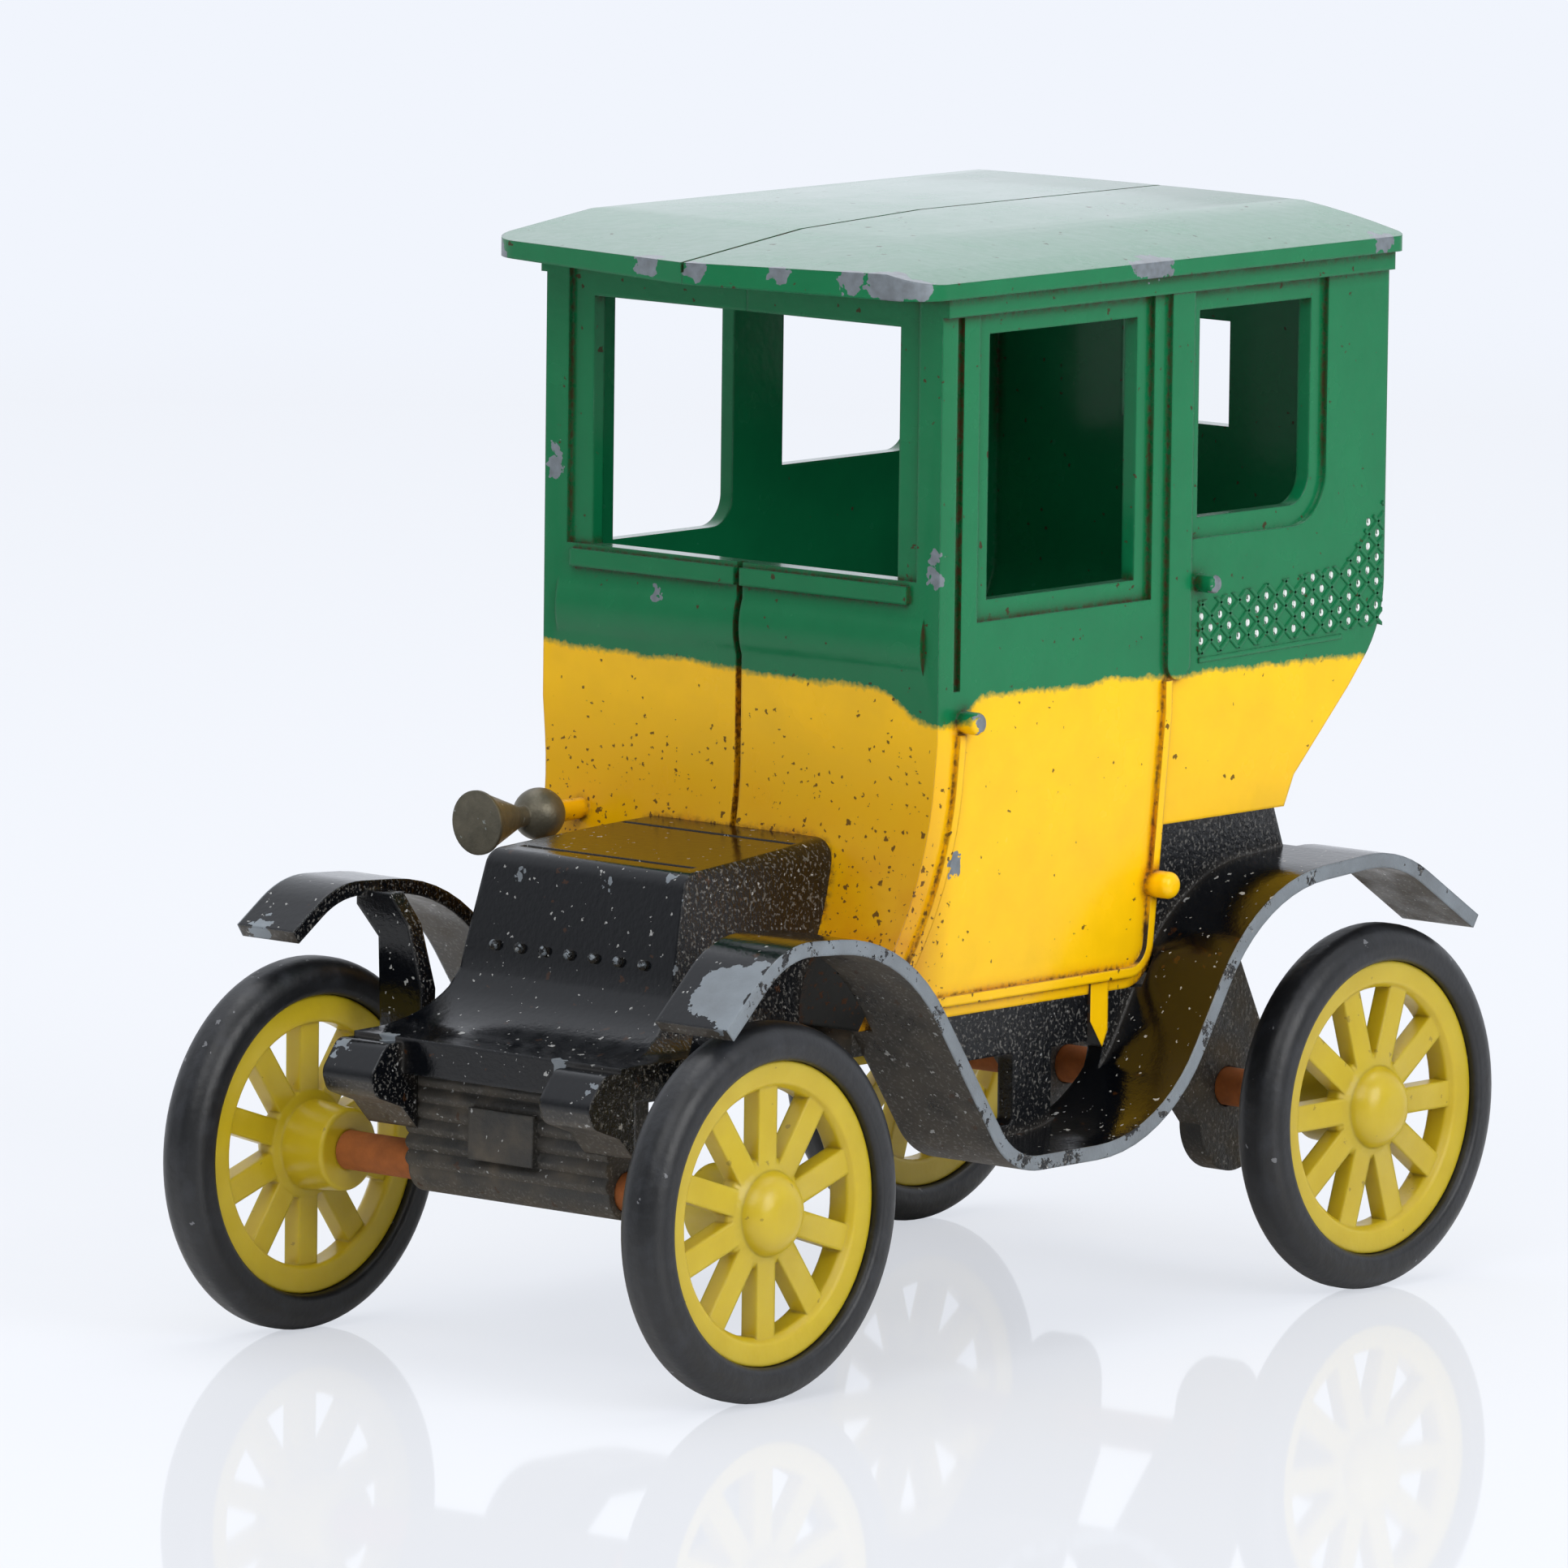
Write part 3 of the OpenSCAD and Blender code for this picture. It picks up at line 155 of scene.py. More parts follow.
class TaxiSizes(bpy.types.PropertyGroup):
    paint_line: length_prop("Paint line", "Height where the green coat ends", 33.5)
    paint_fuzz: length_prop("Paint fuzz", "Width of the sprayed edge", 0.35)
    edge_round: length_prop("Edge radius", "Softness of painted edges", 0.22)
    lattice_long: length_prop("Lattice pitch", "Length of a lattice diamond", 1.5)
    lattice_high: length_prop("Lattice height", "Height of a lattice diamond", 1.25)
    lattice_bar: length_prop("Lattice bar", "Width of a lattice bar", 0.3)
    lattice_proud: length_prop("Lattice relief", "How far the bars stand out", 0.09)
    rivet_pitch: length_prop("Rivet pitch", "Distance between rivets", 1.65)
    rivet_radius: length_prop("Rivet radius", "Radius of a rivet head", 0.27)


def colours():
    return bpy.context.scene.taxi_colours


def sizes():
    return bpy.context.scene.taxi_sizes


def add(tree, kind, inputs=(), **settings):
    """Adds a shader node with its settings, and links or sets its inputs."""
    made = tree.nodes.new("ShaderNode" + kind)
    for key, value in settings.items():
        setattr(made, key, value)
    for key, value in dict(inputs).items():
        if isinstance(value, bpy.types.Node):
            value = value.outputs[0]
        if isinstance(value, bpy.types.NodeSocket):
            tree.links.new(value, made.inputs[key])
        else:
            made.inputs[key].default_value = value
    return made


def new_material(name):
    """A material with its tree and Object coordinates in millimetres."""
    material = bpy.data.materials.new(name)
    material.use_nodes = True
    tree = material.node_tree
    tree.nodes.clear()
    place = add(tree, "TexCoord").outputs["Object"]
    mm = add(tree, "VectorMath", {0: place, "Scale": 1 / MM}, operation="SCALE").outputs[0]
    return material, tree, mm


def close_material(tree, shader):
    add(tree, "OutputMaterial", {"Surface": shader.outputs[0]})


def wear_masks(tree, mm, chips, radius, corner_reach):
    """Where paint wears: chips at given places, the rounded normal, how sharp an outer edge is,
    and how open to the sky a place is, from 0 deep in a corner to 1."""
    wobble = add(tree, "TexNoise", {"Vector": mm, "Scale": 1.6, "Detail": 4.0})
    shift = add(tree, "VectorMath", {0: wobble.outputs["Color"], 1: (0.5, 0.5, 0.5)}, operation="SUBTRACT")
    warped = add(tree, "VectorMath", {0: shift, 1: (1.7, 1.7, 1.7), 2: mm}, operation="MULTIPLY_ADD")
    deepest = None
    for x, y, z, r in chips:
        far = add(tree, "VectorMath", {0: warped, 1: (x, y, z)}, operation="DISTANCE").outputs["Value"]
        inside = add(tree, "Math", {0: r, 1: far}, operation="SUBTRACT")
        if deepest is not None:
            inside = add(tree, "Math", {0: deepest, 1: inside}, operation="MAXIMUM")
        deepest = inside
    chipped = add(tree, "Math", {0: deepest, 1: 0.0}, operation="GREATER_THAN")
    rounded = add(tree, "Bevel", {"Radius": radius}, samples=4)
    plain = add(tree, "NewGeometry").outputs["Normal"]
    agree = add(tree, "VectorMath", {0: rounded, 1: plain}, operation="DOT_PRODUCT").outputs["Value"]
    edge = add(tree, "Math", {0: 1.0, 1: agree}, operation="SUBTRACT")
    hollow = add(tree, "AmbientOcclusion", {"Distance": corner_reach}, samples=8)
    return chipped, rounded, edge, hollow.outputs["AO"]


def specks(tree, mm, size, amount):
    """Small scattered spots: size in millimetres, amount from 0 to 1."""
    ragged = add(tree, "TexNoise", {"Vector": mm, "Scale": 2.2 / size, "Detail": 2.0})
    moved = add(tree, "VectorMath", {0: ragged.outputs["Color"], 1: (size, size, size), 2: mm},
                operation="MULTIPLY_ADD")
    cells = add(tree, "TexVoronoi", {"Vector": moved, "Scale": 1 / size, "Randomness": 1.0})
    share = add(tree, "SeparateColor", {0: cells.outputs["Color"]})
    few = add(tree, "Math", {0: share.outputs[0], 1: amount}, operation="LESS_THAN")
    reach = add(tree, "Math", {0: share.outputs[1], 1: 0.32}, operation="MULTIPLY")
    near = add(tree, "Math", {0: cells.outputs["Distance"], 1: reach}, operation="LESS_THAN")
    return add(tree, "Math", {0: few, 1: near}, operation="MULTIPLY")


def sprayed_line(tree, mm, place):
    """The green coat's share, and the height in the mist at its edge. The edge falls a little
    to the left and to the rear, runs down the left front corner and wanders."""
    size = sizes()
    fall = add(tree, "Math", {0: place.outputs["X"], 1: -0.025, 2: size.paint_line / MM - 0.35},
               operation="MULTIPLY_ADD")
    fall = add(tree, "Math", {0: place.outputs["Y"], 1: -0.022, 2: fall}, operation="MULTIPLY_ADD")
    post = add(tree, "VectorMath", {0: mm, 1: (1, 1, 0)}, operation="MULTIPLY")
    post = add(tree, "VectorMath", {0: post, 1: LEFT_FRONT_CORNER}, operation="DISTANCE").outputs["Value"]
    run = add(tree, "MapRange", {"Value": post, "From Min": 4.0, "From Max": 0.8, "To Max": -1.25},
              interpolation_type="SMOOTHSTEP")
    dip = add(tree, "Math", {0: fall, 1: run}, operation="ADD")
    wander = add(tree, "TexNoise", {"Vector": mm, "Scale": 0.28, "Detail": 2.0})
    spray = add(tree, "TexNoise", {"Vector": mm, "Scale": 3.5, "Detail": 3.0})
    wave = add(tree, "Math", {0: wander, 1: 0.9, 2: place.outputs["Z"]}, operation="MULTIPLY_ADD")
    mist = add(tree, "Math", {0: spray, 1: 0.5, 2: wave}, operation="MULTIPLY_ADD")
    over = add(tree, "Math", {0: mist, 1: dip}, operation="SUBTRACT")
    coat = add(tree, "MapRange", {"Value": over, "From Min": 0.7, "From Max": 0.7 + size.paint_fuzz / MM})
    return coat, mist


def cab_inside(tree, mm, place, normal):
    """Where a surface faces the middle of the cab, which was sprayed green all over inside."""
    spoke = add(tree, "VectorMath", {0: mm, 1: CAB_MIDDLE}, operation="SUBTRACT")
    flat = add(tree, "VectorMath", {0: spoke, 1: (1, 1, 0)}, operation="MULTIPLY")
    turned = add(tree, "VectorMath", {0: flat, 1: normal}, operation="DOT_PRODUCT").outputs["Value"]
    turned = add(tree, "Math", {0: turned, 1: -0.3}, operation="LESS_THAN")
    # half the width between the side walls, which lean out
    wall = add(tree, "MapRange", {"Value": place.outputs["Z"], "From Min": 16.8, "From Max": 31.0,
                                  "To Min": 11.4, "To Max": 12.6})
    across = add(tree, "Math", {0: place.outputs["X"], 1: CAB_CENTRE_X}, operation="SUBTRACT")
    across = add(tree, "Math", {0: across}, operation="ABSOLUTE")
    within = add(tree, "Math", {0: across, 1: wall}, operation="LESS_THAN")
    behind = add(tree, "Math", {0: place.outputs["Y"], 1: FRONT_PANEL_INSIDE}, operation="GREATER_THAN")
    within = add(tree, "Math", {0: within, 1: behind}, operation="MULTIPLY")
    return add(tree, "Math", {0: within, 1: turned}, operation="MULTIPLY")


def cab_grime_and_shade(tree, mm, place, open_sky, cloud, grit):
    """A brown film beside beads and frames, partly stain and partly painted shade where occlusion finds
    hollows, a brown tint that is strongest over the foot of the front panel, dark colour deep in the
    corners that is partly dirt and partly painted shade, and flecks that crowd near the bonnet. The cane
    lattice is kept clean by hands and gets little of either."""
    low = add(tree, "MapRange", {"Value": place.outputs["Z"], "From Min": 32.0, "From Max": 21.0})
    ahead = add(tree, "MapRange", {"Value": place.outputs["Y"], "From Min": -5.5, "From Max": -7.6})
    foot = add(tree, "Math", {0: low, 1: ahead}, operation="MULTIPLY")
    rear = add(tree, "MapRange", {"Value": place.outputs["Y"], "From Min": 12.4, "From Max": 13.4})
    under = add(tree, "MapRange", {"Value": place.outputs["Z"], "From Min": 44.0, "From Max": 41.0,
                                   "To Max": 0.85})
    clean = add(tree, "Math", {0: rear, 1: under}, operation="MULTIPLY")
    soiled_and_shaded = add(tree, "Math", {0: 1.0, 1: clean}, operation="SUBTRACT")
    # painted shade, partly stain: hollows that occlusion finds get the brown film, so beads and frames read
    # darker
    shade = add(tree, "MapRange", {"Value": open_sky, "From Min": 0.97, "From Max": 0.62})
    shade = add(tree, "Math", {0: shade, 1: soiled_and_shaded}, operation="MULTIPLY")
    film = add(tree, "MapRange", {"Value": cloud, "From Min": 0.3, "From Max": 0.7, "To Min": 0.35})
    film = add(tree, "Math", {0: film, 1: shade}, operation="MULTIPLY")
    # the front panel is a little browner all over, and browner still towards its foot
    foot_film = add(tree, "Math", {0: foot, 1: cloud}, operation="MULTIPLY")
    ahead_film = add(tree, "Math", {0: ahead, 1: 0.1, 2: foot_film}, operation="MULTIPLY_ADD")
    film = add(tree, "Math", {0: film, 1: ahead_film}, operation="MAXIMUM", use_clamp=True)
    held = add(tree, "MapRange", {"Value": grit, "From Min": 0.44, "From Max": 0.58})
    # painted shade, partly dirt: the deepest corners that occlusion finds darken towards the grime colour
    # where the grit noise allows
    deep = add(tree, "MapRange", {"Value": open_sky, "From Min": 0.86, "From Max": 0.5})
    corner = add(tree, "Math", {0: deep, 1: held}, operation="MULTIPLY")
    corner = add(tree, "Math", {0: corner, 1: soiled_and_shaded}, operation="MULTIPLY")
    many = add(tree, "Math", {0: foot, 1: 0.75, 2: 0.05}, operation="MULTIPLY_ADD")
    spots = add(tree, "Math", {0: specks(tree, mm, 0.55, many), 1: specks(tree, mm, 0.3, many)},
                operation="MAXIMUM")
    dirt_and_shade = add(tree, "Math", {0: spots, 1: corner}, operation="MAXIMUM")
    dirt_and_shade = add(tree, "Math", {0: dirt_and_shade, 1: 0.85}, operation="MULTIPLY")
    return film, dirt_and_shade, spots


def two_tone_enamel():
    """Two sprayed coats of gloss enamel on cast zinc: a soft wavy line, a film gloss, bare metal where
    the coat is chipped, brown grime and painted shade in corners, small specks and a painted pale
    reflection on the roof."""
    material, tree, mm = new_material("Sprayed_two_tone_enamel")
    ink = colours()
    chipped, rounded, edge, open_sky = wear_masks(tree, mm, CAB_CHIPS, sizes().edge_round, 0.75 * MM)
    place = add(tree, "SeparateXYZ", {0: mm})
    normal = add(tree, "NewGeometry").outputs["Normal"]
    aim = add(tree, "SeparateXYZ", {0: normal})
    coat, mist = sprayed_line(tree, mm, place)
    green = add(tree, "Math", {0: coat, 1: cab_inside(tree, mm, place, normal)}, operation="MAXIMUM")
    paint = add(tree, "Mix", {0: green, 6: ink.yellow, 7: ink.green}, data_type="RGBA").outputs[2]
    # uneven film: slightly deeper and lighter areas of the same colour
    cloud = add(tree, "TexNoise", {"Vector": mm, "Scale": 0.35, "Detail": 3.0})
    value = add(tree, "MapRange", {"Value": cloud, "To Min": 0.86, "To Max": 1.1})
    paint = add(tree, "HueSaturation", {"Color": paint, "Value": value}).outputs[0]
    grit = add(tree, "TexNoise", {"Vector": mm, "Scale": 2.6, "Detail": 6.0, "Roughness": 0.7})
    film, dirt_and_shade, spots = cab_grime_and_shade(tree, mm, place, open_sky, cloud, grit)
    # the stain colour is multiplied in over the film: stain and painted shade in hollows, and a brown tint
    # over the front panel
    paint = add(tree, "Mix", {0: film, 6: paint, 7: ink.stain_and_shade}, data_type="RGBA",
                blend_type="MULTIPLY").outputs[2]
    # black overspray from the frame on the front of the toe
    fronts = add(tree, "MapRange", {"Value": aim.outputs["Y"], "From Min": -0.35, "From Max": -0.6})
    sprayed = add(tree, "MapRange", {"Value": mist, "From Min": 21.4, "From Max": 20.6})
    sprayed = add(tree, "Math", {0: sprayed, 1: fronts}, operation="MULTIPLY")
    paint = add(tree, "Mix", {0: sprayed, 6: paint, 7: ink.soot}, data_type="RGBA").outputs[2]
    # painted reflection: a pale bluish sheen of the white room on the roof's upward faces, in patches that
    # follow the grit noise
    painted_roof_sheen = add(tree, "MapRange", {"Value": aim.outputs["Z"], "From Min": 0.8, "From Max": 0.97})
    roof_sheen_strength = add(tree, "MapRange", {"Value": grit, "From Min": 0.3, "From Max": 0.7,
                                   "To Min": 0.02, "To Max": 0.14})
    painted_roof_sheen = add(tree, "Math", {0: painted_roof_sheen, 1: roof_sheen_strength}, operation="MULTIPLY")
    paint = add(tree, "Mix", {0: painted_roof_sheen, 6: paint, 7: linear("#dce4ec")}, data_type="RGBA").outputs[2]
    # the grime colour over specks and over the deepest corners, where it is partly painted shade
    paint = add(tree, "Mix", {0: dirt_and_shade, 6: paint, 7: ink.grime_and_shade}, data_type="RGBA").outputs[2]
    # the coat is rubbed through on the sharpest outer edges, and where it was chipped
    rub = add(tree, "TexNoise", {"Vector": mm, "Scale": 0.9, "Detail": 5.0, "Roughness": 0.7})
    need = add(tree, "MapRange", {"Value": rub, "From Min": 0.6, "From Max": 0.75,
                                  "To Min": 1.0, "To Max": 0.06})
    worn = add(tree, "Math", {0: edge, 1: need}, operation="GREATER_THAN")
    outer = add(tree, "Math", {0: open_sky, 1: 0.9}, operation="GREATER_THAN")
    worn = add(tree, "Math", {0: worn, 1: outer}, operation="MULTIPLY")
    bare = add(tree, "Math", {0: worn, 1: chipped}, operation="MAXIMUM")
    metal = add(tree, "TexNoise", {"Vector": mm, "Scale": 2.2, "Detail": 5.0})
    zinc = add(tree, "Mix", {0: metal, 6: ink.zinc, 7: linear("#63666a")}, data_type="RGBA").outputs[2]
    skin = add(tree, "Mix", {0: bare, 6: paint, 7: zinc}, data_type="RGBA").outputs[2]
    rough = add(tree, "MapRange", {"Value": cloud, "To Min": 0.16, "To Max": 0.34})
    rough = add(tree, "Math", {0: dirt_and_shade, 1: 0.5, 2: rough}, operation="MULTIPLY_ADD")
    rough = add(tree, "Mix", {0: bare, 2: rough, 3: 0.45})
    # orange peel of the film, under a millimetre across, and the step at a chip's rim
    peel = add(tree, "TexNoise", {"Vector": mm, "Scale": 1.3, "Detail": 3.0})
    level = add(tree, "Math", {0: bare, 1: -0.6, 2: peel}, operation="MULTIPLY_ADD")
    level = add(tree, "Math", {0: spots, 1: 0.5, 2: level}, operation="MULTIPLY_ADD")
    bump = add(tree, "Bump", {"Height": level, "Distance": 0.05 * MM, "Strength": 0.4, "Normal": rounded})
    metallic = add(tree, "Math", {0: bare, 1: 0.55}, operation="MULTIPLY")
    # the roof was sprayed from above and has the thickest gloss
    gloss = add(tree, "MapRange", {"Value": aim.outputs["Z"], "From Min": 0.8, "From Max": 0.97,
                                   "To Min": 0.12, "To Max": 0.8})
    close_material(tree, add(tree, "BsdfPrincipled", {
        "Base Color": skin, "Roughness": rough, "Metallic": metallic, "Normal": bump, "IOR": 1.5,
        "Specular IOR Level": 0.22, "Coat Weight": gloss, "Coat Roughness": 0.1}))
    return material


def black_coat(tree, mm, facing, cloud, open_sky, dusty, pale_share):
    """The black paint's colour under its dirt, with the dust film and the pale specks: dust lies in
    corners and on downward faces, and on a dusty piece in drifting patches."""
    ink = colours()
    below = add(tree, "MapRange", {"Value": facing.outputs["Z"], "From Min": -0.15, "From Max": -0.75})
    shade = add(tree, "MapRange", {"Value": open_sky, "From Min": 0.8, "From Max": 0.3})
    film = add(tree, "Math", {0: shade, 1: 0.4}, operation="MULTIPLY")
    film = add(tree, "Math", {0: below, 1: film}, operation="MAXIMUM")
    if dusty:
        patch = add(tree, "MapRange", {"Value": cloud, "From Min": 0.35, "From Max": 0.75})
        film = add(tree, "Math", {0: film, 1: patch}, operation="MAXIMUM")
    drift = add(tree, "MapRange", {"Value": cloud, "From Min": 0.3, "From Max": 0.7, "To Min": 0.3})
    film = add(tree, "Math", {0: film, 1: drift}, operation="MULTIPLY")
    base = ink.soot if dusty else ink.black
    coat = add(tree, "Mix", {0: film, 6: base, 7: ink.dust}, data_type="RGBA").outputs[2]
    # fine grit on the upright sides and under the mudguards, which were never wiped
    upright = add(tree, "Math", {0: facing.outputs["X"]}, operation="ABSOLUTE")
    unwiped = add(tree, "Math", {0: upright, 1: below}, operation="MAXIMUM")
    fine = add(tree, "TexNoise", {"Vector": mm, "Scale": 5.5, "Detail": 3.0})
    fine = add(tree, "MapRange", {"Value": fine, "From Min": 0.55, "From Max": 0.68, "To Max": 0.5})
    fine = add(tree, "Math", {0: fine, 1: unwiped}, operation="MULTIPLY")
    coat = add(tree, "Mix", {0: fine, 6: coat, 7: linear("#86847f")}, data_type="RGBA").outputs[2]
    # specks of light dust and brown grit, larger than real so that they show
    pale = add(tree, "Math", {0: specks(tree, mm, 0.26, pale_share),
                              1: specks(tree, mm, 0.5, pale_share * 0.4)}, operation="MAXIMUM")
    light = add(tree, "Math", {0: pale, 1: 0.75}, operation="MULTIPLY")
    coat = add(tree, "Mix", {0: light, 6: coat, 7: linear("#b4b5b4")}, data_type="RGBA").outputs[2]
    brown = add(tree, "Math", {0: specks(tree, mm, 0.6, 0.12), 1: 0.6}, operation="MULTIPLY")
    coat = add(tree, "Mix", {0: brown, 6: coat, 7: ink.grime_and_shade}, data_type="RGBA").outputs[2]
    return coat, film, pale, upright


def black_enamel(name, dusty, pale_share, bald=1.0):
    """Gloss black enamel on cast zinc: deep film with dust and pits, a grey rubbed rim on the
    mudguards and a dull film below. The dusty one has lost its gloss to dirt, and where bald is
    under 1 the coat has flaked off in spots."""
    material, tree, mm = new_material(name)
    chipped, rounded, edge, open_sky = wear_masks(tree, mm, BLACK_CHIPS, sizes().edge_round, 1.1 * MM)
    place = add(tree, "SeparateXYZ", {0: mm})
    facing = add(tree, "SeparateXYZ", {0: add(tree, "NewGeometry").outputs["Normal"]})
    cloud = add(tree, "TexNoise", {"Vector": mm, "Scale": 0.5, "Detail": 4.0})
    coat, film, pale, upright = black_coat(tree, mm, facing, cloud, open_sky, dusty, pale_share)
    # the outer rim of the mudguard strip is rubbed to metal
    reach = add(tree, "Math", {0: place.outputs["X"]}, operation="ABSOLUTE")
    rub = add(tree, "TexNoise", {"Vector": mm, "Scale": 0.55, "Detail": 6.0, "Roughness": 0.75})
    rim = add(tree, "Math", {0: reach, 1: MUDGUARD_RIM}, operation="GREATER_THAN")
    rubbed = add(tree, "Math", {0: rub, 1: 0.43}, operation="GREATER_THAN")
    rim = add(tree, "Math", {0: rim, 1: rubbed}, operation="MULTIPLY")
    # so are sharp outer edges, chips and flaked spots
    need = add(tree, "MapRange", {"Value": rub, "From Min": 0.55, "From Max": 0.75,
                                  "To Min": 1.0, "To Max": 0.05})
    worn = add(tree, "Math", {0: edge, 1: need}, operation="GREATER_THAN")
    outer = add(tree, "Math", {0: open_sky, 1: 0.8}, operation="GREATER_THAN")
    worn = add(tree, "Math", {0: worn, 1: outer}, operation="MULTIPLY")
    flake = add(tree, "TexNoise", {"Vector": mm, "Scale": 3.2, "Detail": 4.0, "Roughness": 0.65})
    flaked = add(tree, "Math", {0: flake, 1: bald}, operation="GREATER_THAN")
    bare = worn
    for mask in (chipped, rim, flaked):
        bare = add(tree, "Math", {0: bare, 1: mask}, operation="MAXIMUM")
    zinc = add(tree, "Mix", {0: cloud, 6: colours().zinc, 7: linear("#6a6d70")},
               data_type="RGBA").outputs[2]
    skin = add(tree, "Mix", {0: bare, 6: coat, 7: zinc}, data_type="RGBA").outputs[2]
    rough = add(tree, "Math", {0: film, 1: 0.55, 2: 0.45 if dusty else 0.11}, operation="MULTIPLY_ADD")
    rough = add(tree, "Mix", {0: bare, 2: rough, 3: 0.46})
    # casting grain, 0.35 mm across, strongest on the upright sides
    grain = add(tree, "TexNoise", {"Vector": mm, "Scale": 2.8, "Detail": 4.0, "Roughness": 0.65})
    strong = add(tree, "Math", {0: upright, 1: 0.8, 2: 0.9 if dusty else 0.18}, operation="MULTIPLY_ADD")
    level = add(tree, "Math", {0: grain, 1: strong}, operation="MULTIPLY")
    level = add(tree, "Math", {0: bare, 1: -0.4, 2: level}, operation="MULTIPLY_ADD")
    level = add(tree, "Math", {0: pale, 1: 0.4, 2: level}, operation="MULTIPLY_ADD")
    bump = add(tree, "Bump", {"Height": level, "Distance": 0.12 * MM, "Strength": 0.7, "Normal": rounded})
    metallic = add(tree, "Math", {0: bare, 1: 0.55}, operation="MULTIPLY")
    close_material(tree, add(tree, "BsdfPrincipled", {
        "Base Color": skin, "Roughness": rough, "Metallic": metallic, "Normal": bump, "IOR": 1.5,
        "Specular IOR Level": 0.4}))
    return material


def wheel_plastic():
    """Injection-moulded polystyrene, slightly clear: light enters thin spokes and rim,
    a soft gloss, and dark brown where spokes meet the rim, partly dirt and partly painted shade."""
    material, tree, mm = new_material("Moulded_clear_yellow_polystyrene")
    rounded = add(tree, "Bevel", {"Radius": 0.24 * MM}, samples=4)
    hollow = add(tree, "AmbientOcclusion", {"Distance": 0.9 * MM}, samples=6)
    cloud = add(tree, "TexNoise", {"Vector": mm, "Scale": 0.6, "Detail": 3.0})
    tint = add(tree, "Mix", {0: cloud, 6: colours().wheel, 7: linear("#b99f14")},
               data_type="RGBA").outputs[2]
    # painted shade, partly dirt: hollows that occlusion finds turn dark brown where the grit noise allows
    shade = add(tree, "MapRange", {"Value": hollow.outputs["AO"], "From Min": 0.7, "From Max": 0.25,
                                   "To Max": 0.55})
    grit = add(tree, "TexNoise", {"Vector": mm, "Scale": 1.8, "Detail": 5.0})
    hold = add(tree, "MapRange", {"Value": grit, "From Min": 0.4, "From Max": 0.65})
    dirt_and_shade = add(tree, "Math", {0: shade, 1: hold}, operation="MULTIPLY")
    spots = add(tree, "Math", {0: specks(tree, mm, 0.5, 0.07), 1: 0.5}, operation="MULTIPLY")
    dirt_and_shade = add(tree, "Math", {0: dirt_and_shade, 1: spots}, operation="MAXIMUM")
    skin = add(tree, "Mix", {0: dirt_and_shade, 6: tint, 7: linear("#6e5a16")}, data_type="RGBA").outputs[2]
    rough = add(tree, "MapRange", {"Value": cloud, "To Min": 0.24, "To Max": 0.42})
    bump = add(tree, "Bump", {"Height": grit, "Distance": 0.05 * MM, "Strength": 0.4, "Normal": rounded})
    close_material(tree, add(tree, "BsdfPrincipled", {
        "Base Color": skin, "Roughness": rough, "Normal": bump, "IOR": 1.55, "Subsurface Weight": 0.3,
        "Subsurface Radius": (1.0, 0.85, 0.12), "Subsurface Scale": 1.2 * MM}))
    return material


def tyre_rubber():
    """Moulded black rubber gone hard: bluish black with a dull sheen, pale scuffs on the tread."""
    material, tree, mm = new_material("Moulded_black_rubber")
    cloud = add(tree, "TexNoise", {"Vector": mm, "Scale": 0.7, "Detail": 5.0, "Roughness": 0.6})
    scuff = add(tree, "MapRange", {"Value": cloud, "From Min": 0.5, "From Max": 0.8, "To Max": 0.35})
    skin = add(tree, "Mix", {0: scuff, 6: colours().rubber, 7: linear("#3a3d45")},
               data_type="RGBA").outputs[2]
    dust = add(tree, "Math", {0: specks(tree, mm, 0.45, 0.05), 1: 0.5}, operation="MULTIPLY")
    skin = add(tree, "Mix", {0: dust, 6: skin, 7: linear("#8d8f94")}, data_type="RGBA").outputs[2]
    rough = add(tree, "MapRange", {"Value": cloud, "To Min": 0.3, "To Max": 0.55})
    grain = add(tree, "TexNoise", {"Vector": mm, "Scale": 2.4, "Detail": 4.0})
    bump = add(tree, "Bump", {"Height": grain, "Distance": 0.05 * MM, "Strength": 0.5})
    close_material(tree, add(tree, "BsdfPrincipled", {
        "Base Color": skin, "Roughness": rough, "Normal": bump, "IOR": 1.52}))
    return material


def rusted_steel():
    """Drawn steel rod left bare: powdery orange rust with darker scale and a few bright rubs."""
    material, tree, mm = new_material("Rusted_drawn_steel")
    cloud = add(tree, "TexNoise", {"Vector": mm, "Scale": 1.1, "Detail": 6.0, "Roughness": 0.65})
    skin = add(tree, "Mix", {0: cloud, 6: colours().rust, 7: linear("#7d4a28")},
               data_type="RGBA").outputs[2]
    rough = add(tree, "MapRange", {"Value": cloud, "To Min": 0.55, "To Max": 0.9})
    bump = add(tree, "Bump", {"Height": cloud, "Distance": 0.1 * MM, "Strength": 0.8})
    close_material(tree, add(tree, "BsdfPrincipled", {
        "Base Color": skin, "Roughness": rough, "Normal": bump, "Metallic": 0.15}))
    return material


